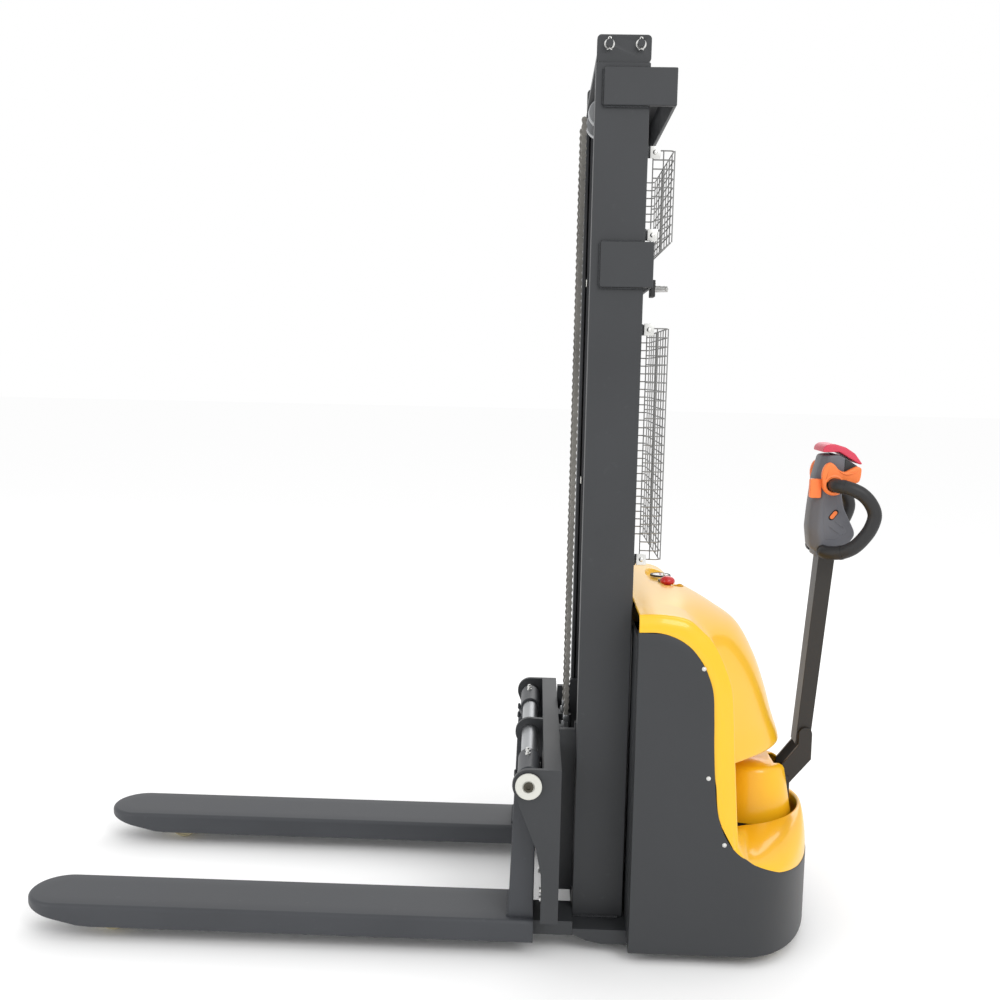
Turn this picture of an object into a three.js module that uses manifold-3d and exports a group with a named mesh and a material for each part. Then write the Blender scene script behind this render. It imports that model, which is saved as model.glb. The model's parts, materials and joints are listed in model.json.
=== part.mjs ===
// Walkie stacker: a pedestrian pallet stacker with a two stage mast, a fork carriage on a round
// bar, load rollers in the leg tips, a steered drive wheel and a tiller with a control head.
// Millimetres, +Z up. X runs from the fork tips (low) to the operator (high), Y across the truck
// with the left side at -Y. The inner group measures X from the back of the fork heels, and the
// outer group moves the whole truck so that its footprint is centred on the origin.
import * as THREE from 'three';
import { mergeVertices } from 'three/addons/utils/BufferGeometryUtils.js';
import Module from 'manifold-3d';

const wasm = await Module();
wasm.setup();

// ---------------------------------------------------------------- driving dimensions
const CENTRE_SHIFT = 188;          // moves the footprint's middle to X = 0
const GAP = 0.4;                   // clearance between touching parts

const FORK = { length: 1150, width: 160, overall: 685, top: 86, bottom: 37, wall: 6, taperStart: -1006, taperRise: 33 };
const BAR = { x: -17, z: 405, radius: 19, halfLength: 376 };
const LEG = { tip: -1004, rear: 88, bottom: 42, cheek: 24, top: 74, halfWidth: 50 };
const LOAD_WHEEL = { x: -955, radius: 37, halfWidth: 22, pin: 8 };

const MAST = { front: 88, rear: 202, web: 250, webThick: 8, flange: 44, flangeThick: 9, bottom: 57, top: 1930 };
const INNER = { bottom: 170, top: 1905, web: 240, webThick: 8, flange: 40, flangeThick: 8, capTop: 1988, pinZ: 1968 };
const ROLLER = { x: 145, outerRadius: 47, outerZ: 122, innerRadius: 36.5, lowerZ: 215, upperZ: 440 };
const SHEAVE = { x: 112, z: 1866, y: 62, radius: 31, halfWidth: 11 };
const CHAIN = { halfWidth: 8, thick: 14, anchorZ: 470 };
const CYLINDER = { x: 140, barrel: 32, bore: 26, rod: 20, bottom: 57.4, top: 1790, rodBottom: 120, rodTop: 1900.6 };

const BODY = { front: 207, halfWidth: 356, bottom: 26, top: 738, roundStart: 456, rear: 650, sheet: 4 };
const STEER = { x: 527, plateBottom: 206, plateTop: 214, opening: 90, flange: 98 };
const DRIVE_WHEEL = { radius: 100, halfWidth: 34 };
const CASTER = { x: 470, y: 258, trail: 34, radius: 50, halfWidth: 17, plateZ: 120 };
const TILLER = { x: 604, z: 318 };
const GRIP = { x: 676, z: 1037, radius: 15.5 };

// ---------------------------------------------------------------- materials
const paint = (color, roughness, metalness = 0) => new THREE.MeshStandardMaterial({ color, roughness, metalness });
const charcoal = paint(0x48494b, 0.5, 0.1);
const forkGrey = paint(0x5e6167, 0.5, 0.1);
const yellow = paint(0xfcbe14, 0.25);
const zinc = paint(0xc9ccd0, 0.3, 0.9);
const steel = paint(0x8d8f92, 0.35, 0.9);
const chainSteel = paint(0x6b5b4c, 0.5, 0.8);
const black = paint(0x222324, 0.6);
const headGrey = paint(0x696c73, 0.55);
const orange = paint(0xf57d41, 0.45);
const red = paint(0xc82832, 0.35);
const crimson = paint(0xcd3250, 0.4);
const rubber = paint(0x2a2a2b, 0.8);
const urethane = paint(0xd8cfae, 0.5);

// ---------------------------------------------------------------- solids
// A closed three.js geometry as a manifold solid.
function solid(geometry) {
  const bare = geometry.clone();
  bare.deleteAttribute('normal');
  bare.deleteAttribute('uv');
  const merged = mergeVertices(bare, 1e-4);
  const triangles = [];
  const index = merged.index.array;
  for (let i = 0; i < index.length; i += 3) {
    const [a, b, c] = [index[i], index[i + 1], index[i + 2]];
    if (a !== b && b !== c && a !== c) triangles.push(a, b, c);
  }
  const shape = { numProp: 3, vertProperties: merged.attributes.position.array, triVerts: new Uint32Array(triangles) };
  return new wasm.Manifold(new wasm.Mesh(shape));
}

// A box between two corners.
function box(x0, x1, y0, y1, z0, z1) {
  const geometry = new THREE.BoxGeometry(x1 - x0, y1 - y0, z1 - z0);
  return solid(geometry.translate((x0 + x1) / 2, (y0 + y1) / 2, (z0 + z1) / 2));
}

// A cylinder or cone frustum from one point along an axis letter, by its two end radii.
function rod(axis, at, from, to, radius, sides = 24, endRadius = radius) {
  const geometry = new THREE.CylinderGeometry(endRadius, radius, to - from, sides);
  const middle = (from + to) / 2;
  if (axis === 'x') geometry.rotateZ(-Math.PI / 2).translate(middle, at[0], at[1]);
  if (axis === 'y') geometry.translate(at[0], middle, at[1]);
  if (axis === 'z') geometry.rotateX(Math.PI / 2).translate(at[0], at[1], middle);
  return solid(geometry);
}

// A ring: a cylinder with a bore right through it.
function ring(axis, at, from, to, radius, bore, sides = 32) {
  return rod(axis, at, from, to, radius, sides).subtract(rod(axis, at, from - 1, to + 1, bore, sides));
}

// An outline in the XZ plane, carried across the truck from y0 to y1.
function sidePlate(shape, y0, y1, curveSteps = 8) {
  const geometry = new THREE.ExtrudeGeometry(shape, { depth: y1 - y0, bevelEnabled: false, curveSegments: curveSteps });
  return solid(geometry.rotateX(Math.PI / 2).translate(0, y1, 0));
}

// An outline in the XY plane, carried up from z0 to z1.
function planPlate(shape, z0, z1, curveSteps = 8) {
  const geometry = new THREE.ExtrudeGeometry(shape, { depth: z1 - z0, bevelEnabled: false, curveSegments: curveSteps });
  return solid(geometry.translate(0, 0, z0));
}

// A profile of (radius, height) points turned about the vertical line through (x, y).
function turned(points, x, y, sides = 40) {
  const profile = points.map(([r, z]) => new THREE.Vector2(r, z));
  return solid(new THREE.LatheGeometry(profile, sides).rotateX(Math.PI / 2).translate(x, y, 0));
}

// A round tube along a curve through the given points.
function tubeAlong(points, radius, steps, sides = 12) {
  const curve = new THREE.CatmullRomCurve3(points.map((p) => new THREE.Vector3(...p)), false, 'centripetal');
  const section = new THREE.Shape();
  section.absarc(0, 0, radius, 0, Math.PI * 2);
  const options = { steps, extrudePath: curve, bevelEnabled: false, curveSegments: sides / 2 };
  return solid(new THREE.ExtrudeGeometry(section, options));
}

const outline = (points) => new THREE.Shape(points.map(([a, b]) => new THREE.Vector2(a, b)));

// A rectangle with rounded corners, as a shape in any plane.
function roundedRect(a0, a1, b0, b1, r) {
  const shape = new THREE.Shape();
  shape.moveTo(a0 + r, b0);
  shape.lineTo(a1 - r, b0);
  shape.absarc(a1 - r, b0 + r, r, -Math.PI / 2, 0);
  shape.lineTo(a1, b1 - r);
  shape.absarc(a1 - r, b1 - r, r, 0, Math.PI / 2);
  shape.lineTo(a0 + r, b1);
  shape.absarc(a0 + r, b1 - r, r, Math.PI / 2, Math.PI);
  shape.lineTo(a0, b0 + r);
  shape.absarc(a0 + r, b0 + r, r, Math.PI, Math.PI * 1.5);
  return shape;
}

const truck = new THREE.Group();
truck.position.x = CENTRE_SHIFT;

// Adds a solid to the truck as a named part.
function part(name, body, material) {
  const shape = body.getMesh();
  const geometry = new THREE.BufferGeometry();
  geometry.setAttribute('position', new THREE.BufferAttribute(new Float32Array(shape.vertProperties), 3));
  geometry.setIndex(new THREE.BufferAttribute(new Uint32Array(shape.triVerts), 1));
  const mesh = new THREE.Mesh(geometry, material);
  mesh.name = name;
  truck.add(mesh);
}

const SIDES = [['left', -1], ['right', 1]];
// A span across the truck, on the left (-1) or the right (+1) side.
const span = (side, inner, outer) => (side < 0 ? [-outer, -inner] : [inner, outer]);

// ---------------------------------------------------------------- forks
const forkY = FORK.overall / 2 - FORK.width / 2;

// An inverted U blade with a round tip and a tapered nose, an upright and a sleeve on the bar.
function makeFork(side) {
  const y = side * forkY;
  const half = FORK.width / 2;
  const plan = new THREE.Shape();
  plan.moveTo(0, y - half);
  plan.lineTo(0, y + half);
  plan.lineTo(half - FORK.length, y + half);
  plan.absarc(half - FORK.length, y, half, Math.PI / 2, Math.PI * 1.5);
  const nose = outline([
    [-FORK.length - 10, FORK.bottom - 10], [FORK.taperStart, FORK.bottom - 10], [FORK.taperStart, FORK.bottom],
    [-FORK.length, FORK.bottom + FORK.taperRise], [-FORK.length - 10, FORK.bottom + FORK.taperRise],
  ]);
  const inside = new THREE.Shape();
  inside.moveTo(20, y - half + FORK.wall);
  inside.lineTo(20, y + half - FORK.wall);
  inside.lineTo(half - FORK.length, y + half - FORK.wall);
  inside.absarc(half - FORK.length, y, half - FORK.wall, Math.PI / 2, Math.PI * 1.5);
  const blade = planPlate(plan, FORK.bottom, FORK.top, 16)
    .subtract(sidePlate(nose, y - half - 5, y + half + 5))
    .subtract(planPlate(inside, FORK.bottom - 5, FORK.top - FORK.wall, 16));
  const upright = outline([[-56, FORK.top - 1], [0, FORK.top - 1], [0, 372], [-12, 388], [-30, 388], [-48, 372]]);
  const hollow = outline([[-44, FORK.top + 12], [5, FORK.top + 12], [5, 352], [-36, 352]]);
  const sleeve = rod('y', [BAR.x, BAR.z], y - 62, y + 62, 25, 28);
  return blade
    .add(sidePlate(upright, y - 62, y + 62).subtract(sidePlate(hollow, y - 52, y + 52)))
    .add(sleeve)
    .subtract(rod('y', [BAR.x, BAR.z], y - 90, y + 90, BAR.radius + GAP, 28));
}
for (const [name, side] of SIDES) part(`fork_${name}`, makeFork(side), forkGrey);

// ---------------------------------------------------------------- fork carriage
const chainFront = SHEAVE.x - SHEAVE.radius - GAP - CHAIN.thick;
const endPlate = new THREE.Shape();
endPlate.moveTo(15, 97);
endPlate.lineTo(53, 97);
endPlate.lineTo(53, 440);
endPlate.lineTo(BAR.x, 440);
endPlate.absarc(BAR.x, BAR.z, 35, Math.PI / 2, Math.PI * 1.12);
endPlate.lineTo(2, 264);
endPlate.lineTo(15, 200);
const middlePlate = new THREE.Shape();
middlePlate.moveTo(16, 340);
middlePlate.lineTo(16, 438);
middlePlate.lineTo(BAR.x, 440);
middlePlate.absarc(BAR.x, BAR.z, 35, Math.PI / 2, Math.PI * 1.4);

// Two cross beams, three plates that hold the bar, and two roller plates that reach into the mast.
function makeCarriage() {
  let frame = box(15, 53, -366, 366, 380, 440).add(box(17, 53, -366, 366, 97, 157));
  frame = frame.add(sidePlate(middlePlate, -6, 6));
  for (const [, side] of SIDES) {
    frame = frame.add(sidePlate(endPlate, ...span(side, 362, 374)));
    frame = frame.add(box(52, 86, ...span(side, 176, 192), 92, 473));
    frame = frame.add(box(85, 175, ...span(side, 176, 192), 100, 490));
    frame = frame.add(box(40, 53, ...span(side, 30, 100), 157, 380));
    for (const z of [ROLLER.lowerZ, ROLLER.upperZ]) {
      frame = frame.add(rod('y', [ROLLER.x, z], ...span(side, 190, 222), 12, 20));
    }
  }
  for (const [, side] of SIDES) {
    frame = frame.add(box(52, 80, ...span(side, 40, 84), 425, 439));
    frame = frame.add(rod('z', [chainFront + 7, side * SHEAVE.y], 438, CHAIN.anchorZ, 8, 12));
  }
  return frame.subtract(rod('y', [BAR.x, BAR.z], -400, 400, BAR.radius + GAP, 28));
}
part('carriage_frame', makeCarriage(), charcoal);
part('fork_bar', rod('y', [BAR.x, BAR.z], -BAR.halfLength, BAR.halfLength, BAR.radius, 28), steel);
for (const [name, side] of SIDES) {
  const cap = rod('y', [BAR.x, BAR.z], ...span(side, BAR.halfLength + GAP, BAR.halfLength + 7), 28.6, 32)
    .add(rod('y', [BAR.x, BAR.z], ...span(side, BAR.halfLength + 2, BAR.halfLength + 10), 10, 16));
  part(`bar_end_cap_${name}`, cap, zinc);
}
for (const [name, side] of SIDES) {
  for (const [level, z] of [['lower', ROLLER.lowerZ], ['upper', ROLLER.upperZ]]) {
    const roller = ring('y', [ROLLER.x, z], ...span(side, 195, 221), ROLLER.innerRadius, 12 + GAP, 24);
    part(`carriage_roller_${level}_${name}`, roller, steel);
  }
}

// ---------------------------------------------------------------- outer mast
// A channel that opens towards the middle of the truck.
function channel(side, size, front, rear, bottom, top) {
  const web = box(front, rear, ...span(side, size.web - size.webThick, size.web), bottom, top);
  const reach = span(side, size.web - size.flange, size.web);
  return web
    .add(box(front, front + size.flangeThick, ...reach, bottom, top))
    .add(box(rear - size.flangeThick, rear, ...reach, bottom, top));
}

// A cross member around the back of the mast: two ears outside the channels and a back plate.
function crossMember(front, rear, bottom, top, lip) {
  let member = box(rear - 8, rear, -262, 262, bottom, top);
  for (const [, side] of SIDES) member = member.add(box(front, rear, ...span(side, 250 + GAP, 262), bottom, top));
  return member.add(box(rear - lip, rear, -262, 262, top - 8, top));
}
for (const [name, side] of SIDES) {
  part(`outer_channel_${name}`, channel(side, MAST, MAST.front, MAST.rear, MAST.bottom + GAP, MAST.top), charcoal);
}
part('upper_cross_member', crossMember(105, 258, 1840, 1918, 40), charcoal);
part('lower_cross_member', crossMember(108, 221, 1465, 1561, 17), charcoal);

// ---------------------------------------------------------------- inner mast
const innerFront = MAST.front + MAST.flangeThick + 3;
const innerRear = MAST.rear - MAST.flangeThick - 3;
const CAP_BOTTOM = MAST.top + 2;

// Both inner channels, their top plates and ties, and the stub axles at their feet.
function makeInnerMast() {
  let mast = box(innerFront, innerRear, -236, 236, INNER.top - 4, INNER.top + 12);
  for (const [, side] of SIDES) {
    mast = mast.add(channel(side, INNER, innerFront, innerRear, INNER.bottom, INNER.top));
    const cap = roundedRect(MAST.front + 1, MAST.rear + 1, CAP_BOTTOM, INNER.capTop, 9);
    mast = mast.add(sidePlate(cap, ...span(side, 228, 240)));
    for (const x of [114.5, 180.5]) mast = mast.add(rod('y', [x, INNER.pinZ], ...span(side, 239, 254), 8, 16));
    mast = mast.add(box(innerFront, innerRear, ...span(side, 228, 240), INNER.top - 10, CAP_BOTTOM + 10));
    mast = mast.add(box(125, 165, ...span(side, 205, 219), 100, INNER.bottom + 6));
    mast = mast.add(box(125, 165, ...span(side, 205, 236), INNER.bottom, INNER.bottom + 6));
    mast = mast.add(rod('y', [ROLLER.x, ROLLER.outerZ], ...span(side, 218, 239), 14, 20));
    const hanger = span(side, SHEAVE.y + 14, SHEAVE.y + 22);
    mast = mast.add(box(innerFront, 126, ...hanger, 1848, INNER.top));
    mast = mast.add(box(innerFront, 126, ...span(side, SHEAVE.y - 22, SHEAVE.y - 14), 1848, INNER.top));
    mast = mast.add(rod('y', [SHEAVE.x, SHEAVE.z], ...span(side, SHEAVE.y - 20, SHEAVE.y + 20), 10, 16));
  }
  mast = mast.add(box(MAST.front + 1, innerFront + 8, -236, 236, CAP_BOTTOM + 3, CAP_BOTTOM + 17));
  mast = mast.add(box(innerRear - 8, innerRear, -236, 236, 700, 780));
  return mast;
}
part('inner_mast', makeInnerMast(), charcoal);
for (const [name, side] of SIDES) {
  const foot = ring('y', [ROLLER.x, ROLLER.outerZ], ...span(side, 221, 241), ROLLER.outerRadius, 14 + GAP, 28);
  part(`mast_roller_${name}`, foot, steel);
  const sheave = ring('y', [SHEAVE.x, SHEAVE.z], ...span(side, SHEAVE.y - SHEAVE.halfWidth, SHEAVE.y + SHEAVE.halfWidth),
    SHEAVE.radius, 10 + GAP, 28);
  part(`chain_sheave_${name}`, sheave, steel);
}

// ---------------------------------------------------------------- lift cylinder and chains
const barrel = rod('z', [CYLINDER.x, 0], CYLINDER.bottom, CYLINDER.top, CYLINDER.barrel, 28)
  .subtract(rod('z', [CYLINDER.x, 0], CYLINDER.bottom + 20, CYLINDER.top - 20, CYLINDER.bore, 24))
  .subtract(rod('z', [CYLINDER.x, 0], CYLINDER.top - 30, CYLINDER.top + 5, CYLINDER.rod + GAP, 24));
part('lift_cylinder', barrel, charcoal);
part('piston_rod', rod('z', [CYLINDER.x, 0], CYLINDER.rodBottom, CYLINDER.rodTop, CYLINDER.rod, 24), steel);
for (const [name, side] of SIDES) {
  const reach = span(side, SHEAVE.y - CHAIN.halfWidth, SHEAVE.y + CHAIN.halfWidth);
  const chain = box(chainFront, chainFront + CHAIN.thick, ...reach, CHAIN.anchorZ + GAP, SHEAVE.z);
  part(`lift_chain_${name}`, chain, chainSteel);
}

// ---------------------------------------------------------------- legs and chassis
const legOutline = outline([
  [LEG.tip, LEG.cheek], [LEG.tip + 104, LEG.cheek], [LEG.tip + 130, LEG.bottom], [LEG.rear - GAP, LEG.bottom],
  [LEG.rear - GAP, LEG.top], [LEG.tip, LEG.top],
]);

// A base leg with two cheeks at its tip that hold the load wheel's pin.
function makeLeg(side) {
  const y = side * forkY;
  return sidePlate(legOutline, y - LEG.halfWidth, y + LEG.halfWidth)
    .subtract(box(LEG.tip - 5, LEG.tip + 95, y - 26, y + 26, 0, 100))
    .add(rod('y', [LOAD_WHEEL.x, LOAD_WHEEL.radius], y - 30, y + 30, LOAD_WHEEL.pin, 16));
}
for (const [name, side] of SIDES) {
  const y = side * forkY;
  part(`leg_${name}`, makeLeg(side), charcoal);
  const wheel = ring('y', [LOAD_WHEEL.x, LOAD_WHEEL.radius], y - LOAD_WHEEL.halfWidth, y + LOAD_WHEEL.halfWidth,
    LOAD_WHEEL.radius, LOAD_WHEEL.pin + GAP, 40);
  part(`load_wheel_${name}`, wheel, urethane);
}

const casterReach = [CASTER.x - 45, CASTER.x + 60];
const driveWall = 150;

// A mast foot's side, cut away under its front end.
const footSide = outline([
  [LEG.rear, MAST.bottom], [LEG.rear, 44], [118, 31], [152, 24], [BODY.front + 2, 24], [BODY.front + 2, MAST.bottom],
]);

// Floor pan, bulkhead, mast feet, drive unit plate and caster plates, welded in one.
function makeChassis() {
  let frame = box(BODY.front, 372, -336, 336, 40, 46);
  frame = frame.add(box(371, 412, -driveWall - 7, driveWall + 7, 40, 46));
  frame = frame.add(box(BODY.front, BODY.front + 6, -336, 336, 40, 726));
  frame = frame.add(box(LEG.rear, BODY.front + 10, -240, 240, 45, MAST.bottom));
  frame = frame.add(box(92, 100, -200, 200, MAST.bottom - 1, 96));
  frame = frame.add(box(378, 600, -driveWall - 7, driveWall + 7, STEER.plateBottom, STEER.plateTop));
  for (const [, side] of SIDES) {
    frame = frame.add(sidePlate(footSide, ...span(side, 205, 312)));
    frame = frame.add(box(378, 600, ...span(side, driveWall, driveWall + 7), 41, STEER.plateBottom + 1));
    frame = frame.add(box(...casterReach, ...span(side, driveWall, 320), CASTER.plateZ, CASTER.plateZ + 8));
  }
  return frame
    .subtract(rod('z', [STEER.x, 0], 180, 300, STEER.opening, 40))
    .subtract(rod('x', [70, 130], 150, 300, 16, 16));
}
part('chassis_frame', makeChassis(), charcoal);

// ---------------------------------------------------------------- body shell, hood and collar
// The plan of the body: square at the front, a half ellipse at the back.
function bodyPlan(inset) {
  const half = BODY.halfWidth - inset;
  const depth = BODY.rear - BODY.roundStart - inset;
  const plan = new THREE.Shape();
  plan.moveTo(BODY.front - (inset > 0 ? 20 : 0), -half);
  plan.lineTo(BODY.roundStart, -half);
  plan.absellipse(BODY.roundStart, 0, depth, half, -Math.PI / 2, Math.PI / 2, false, 0);
  plan.lineTo(BODY.front - (inset > 0 ? 20 : 0), half);
  return plan;
}

// The shell's side view: a straight flank, an S curve down the back and a low rear apron.
const shellSide = new THREE.Shape();
shellSide.moveTo(BODY.front - 2, BODY.bottom);
shellSide.lineTo(BODY.rear + 5, BODY.bottom);
shellSide.lineTo(BODY.rear + 5, 184);
shellSide.bezierCurveTo(600, 190, 560, 200, 530, 210);
shellSide.bezierCurveTo(470, 226, 400, 262, 386, 370);
shellSide.bezierCurveTo(376, 430, 374, 500, 373, 580);
shellSide.bezierCurveTo(370, 660, 330, BODY.top, 262, BODY.top);
shellSide.lineTo(BODY.front - 2, BODY.top);
const shell = planPlate(bodyPlan(0), BODY.bottom, BODY.top + 5, 18)
  .subtract(planPlate(bodyPlan(BODY.sheet), BODY.bottom - 5, BODY.top + 10, 18))
  .intersect(sidePlate(shellSide, -400, 400, 8));
part('body_shell_left', shell.intersect(box(0, 900, -500, -GAP / 2, 0, 900)), charcoal);
part('body_shell_right', shell.intersect(box(0, 900, GAP / 2, 500, 0, 900)), charcoal);

// The hood is lofted between its centre line and the crease along each side, both as (X, Z)
// points that pair up from the flat top at the front to the underside at the back.
const HOOD = { crease: 345, wall: 4, nose: 0.66, underside: 412, niche: 412, rows: 18, columns: 16 };
const profile = (points) => new THREE.CatmullRomCurve3(points.map(([x, z]) => new THREE.Vector3(x, 0, z)),
  false, 'centripetal');
const centreLine = profile([
  [209, 779], [262, 779], [325, 777], [379, 757], [425, 731], [472, 698], [516, 625], [544, 552], [567, 477],
  [588, HOOD.underside],
]);
const creaseLine = profile([
  [209, 776], [262, 777], [315, 767], [344, 744], [370, 717], [393, 674], [412, 620], [419, 555], [423, 480],
  [427, HOOD.underside],
]);

// How much of the bulge is left at a share of the half width: 1 in the middle, 0 at the sides.
const bulge = (share) => Math.max(0, 1 - (share / HOOD.nose) ** 2) ** 1.15;

// A point of the hood's skin, by a share of its length and a signed share of its half width.
function hoodPoint(along, across, inset) {
  const weight = bulge(Math.abs(across));
  const a = centreLine.getPoint(along);
  const b = creaseLine.getPoint(along);
  const x = b.x + (a.x - b.x) * weight - inset * 0.8;
  return new THREE.Vector3(x, across * (HOOD.crease - inset), b.z + (a.z - b.z) * weight - inset);
}

function hoodSkin() {
  const geometry = new THREE.BoxGeometry(1, 1, 1, HOOD.rows, HOOD.columns, 1);
  const place = geometry.attributes.position;
  for (let i = 0; i < place.count; i += 1) {
    const inset = place.getZ(i) > 0 ? 0 : HOOD.wall;
    const point = hoodPoint(place.getX(i) + 0.5, place.getY(i) * 2, inset);
    place.setXYZ(i, Math.max(point.x, BODY.front + 2), point.y, point.z);
  }
  return solid(geometry);
}

// The plate that closes the bulge from below.
function hoodUnderside() {
  const plan = [[HOOD.niche, 337], [HOOD.niche, -337], [424, -337]];
  for (let i = -8; i <= 8; i += 1) {
    const share = i / 8 * HOOD.nose;
    plan.push([424 + (584 - 424) * bulge(Math.abs(share)), share * HOOD.crease]);
  }
  plan.push([424, 337]);
  return planPlate(outline(plan), HOOD.underside - 3, HOOD.underside + 2);
}

// The hood's side band, which follows the S curve of the body shell.
const bandShape = new THREE.Shape();
bandShape.moveTo(BODY.front + 2.5, 741);
bandShape.lineTo(264, 741);
bandShape.bezierCurveTo(330, 740, 374, 665, 377, 580);
bandShape.bezierCurveTo(378, 500, 382, 430, 391, 365);
bandShape.bezierCurveTo(398, 320, 408, 296, 422, 279);
bandShape.lineTo(440, 284);
bandShape.lineTo(421, 480);
bandShape.lineTo(417, 555);
bandShape.bezierCurveTo(412, 640, 380, 702, 342, 741);
bandShape.bezierCurveTo(325, 762, 290, 774, 258, 774);
bandShape.lineTo(BODY.front + 2.5, 773);

// A tray sunk into the right half of the flat top for the emergency stop and the key.
const TRAY = { x0: 272, x1: 352, y0: 0, y1: 230, floor: 764 };
const stopAt = [310, 30];
const keyAt = [314, 130];
let hood = hoodSkin().add(hoodUnderside());
hood = hood.add(box(HOOD.niche, HOOD.niche + 4, -338, 338, 236, HOOD.underside));
for (const [, side] of SIDES) hood = hood.add(sidePlate(bandShape, ...span(side, 337, 350)));
hood = hood.subtract(box(TRAY.x0, TRAY.x1, TRAY.y0, TRAY.y1, 740, 800));
const pan = box(TRAY.x0 - 4, TRAY.x1 + 4, TRAY.y0 - 4, TRAY.y1 + 4, TRAY.floor - 4, 772)
  .subtract(box(TRAY.x0, TRAY.x1, TRAY.y0, TRAY.y1, TRAY.floor, 790));
hood = hood.add(pan)
  .subtract(rod('z', stopAt, 740, 790, 11, 20))
  .subtract(rod('z', keyAt, 740, 790, 11, 20));
part('hood', hood, yellow);

// The collar: a sloping ring from the shell's rear edge up to a round rim about the turret, which
// climbs towards the back. Its inner face is the outer one moved down and in by the wall.
const COLLAR = { rimX: 492, rim: 151, front: 74, rimFront: 228, climb: 34, edge: 190, wall: 4.5 };
function collarSurface(u, v, target) {
  const angle = u * Math.PI * 2;
  const [c, s] = [Math.cos(angle), Math.sin(angle)];
  const across = v < 0.5 ? v * 2 : (1 - v) * 2;
  const wall = v < 0.5 ? 0 : COLLAR.wall;
  const outerX = BODY.roundStart + (c > 0 ? BODY.rear - BODY.roundStart - 5 : 50) * c;
  const outerY = (BODY.halfWidth - 5) * s;
  const rimX = COLLAR.rimX + (c > 0 ? COLLAR.rim : COLLAR.front) * c;
  const rimY = COLLAR.rim * s;
  const edge = COLLAR.edge + 34 * (c > 0 ? (1 - c) ** 2 : 1);
  const rim = COLLAR.rimFront + COLLAR.climb * (c + 1) / 2;
  const rise = Math.sin(across * Math.PI / 2);
  target.set(outerX + (rimX - outerX) * across - wall * c, outerY + (rimY - outerY) * across - wall * s,
    edge + (rim - edge) * rise - wall);
}

// A surface that closes on itself both ways round.
function closedSurface(surface, around, section) {
  const geometry = new THREE.PlaneGeometry(1, 1, around, section);
  const place = geometry.attributes.position;
  const point = new THREE.Vector3();
  for (let i = 0; i < place.count; i += 1) {
    surface((Math.round((place.getX(i) + 0.5) * around) % around) / around,
      (Math.round((place.getY(i) + 0.5) * section) % section) / section, point);
    place.setXYZ(i, point.x, point.y, point.z);
  }
  return solid(geometry);
}
part('rear_collar', closedSurface(collarSurface, 40, 8), yellow);

// ---------------------------------------------------------------- power pack
part('battery', box(218, 366, -326, 326, 46.5, 262).subtract(box(210, 370, -3, 3, 70, 300)), black);
part('oil_tank', box(222, 352, -250, -40, 300, 520)
  .add(rod('z', [290, -140], 519, 540, 22, 20)), steel);
part('pump_motor', rod('y', [286, 380], -39.5, 150, 48, 28).add(rod('y', [286, 380], 149, 190, 26, 20)), black);
part('motor_controller', box(214, 262, 30, 200, 520, 680).add(box(261, 275, 50, 180, 540, 660)), black);

const stopButton = turned([
  [0, 745], [10, 745], [10, 775], [20, 777], [22, 782], [19, 790], [9, 795], [0, 796],
], ...stopAt, 24);
part('emergency_stop', stopButton, red);
const key = rod('z', keyAt, 745, 776, 10, 20)
  .add(box(keyAt[0] - 2.5, keyAt[0] + 2.5, keyAt[1] - 10, keyAt[1] + 10, 775, 800));
part('key_switch', key, steel);

// ---------------------------------------------------------------- mesh guards
const GUARD = { front: 217, rear: 263, y: 205, wire: 2 };

// A guard as a cage of wires: hoops one above the other and a few uprights.
function makeGuard(bottom, top, hoops) {
  const { front, rear, y, wire } = GUARD;
  const upright = (x, across) => box(x - 1.6, x + 1.6, across - 1.6, across + 1.6, bottom + 1, top - 1);
  let cage = upright(rear, 0);
  for (let i = 0; i < hoops; i += 1) {
    const z = bottom + (top - bottom - 4) * i / (hoops - 1);
    const hoop = box(front - wire, rear + wire, -y - wire, y + wire, z, z + 4);
    cage = cage.add(hoop.subtract(box(front - 9, rear - wire, wire - y, y - wire, z - 1, z + 5)));
  }
  for (const [, side] of SIDES) {
    cage = cage.add(upright(rear, side * y)).add(upright(front, side * y));
    for (const z of [bottom + 8, top - 28]) {
      cage = cage.add(box(MAST.rear + GAP, front + 4, side * y - 3, side * y + 3, z, z + 20));
    }
  }
  return cage;
}
part('mesh_guard_lower', makeGuard(872, 1383, 4), zinc);
part('mesh_guard_upper', makeGuard(1566, 1760, 3), zinc);

const switchAt = { x: 221.4, y: -190, z: 1468 };
const switchLine = [switchAt.y, switchAt.z];
part('limit_switch', box(switchAt.x, switchAt.x + 10, switchAt.y - 22, switchAt.y + 22, 1450, 1486)
  .subtract(rod('x', switchLine, switchAt.x + 4, switchAt.x + 11, 11, 16, 12)), black);
part('switch_lever', rod('x', switchLine, switchAt.x + 6.5, switchAt.x + 41, 7, 16), zinc);

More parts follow.
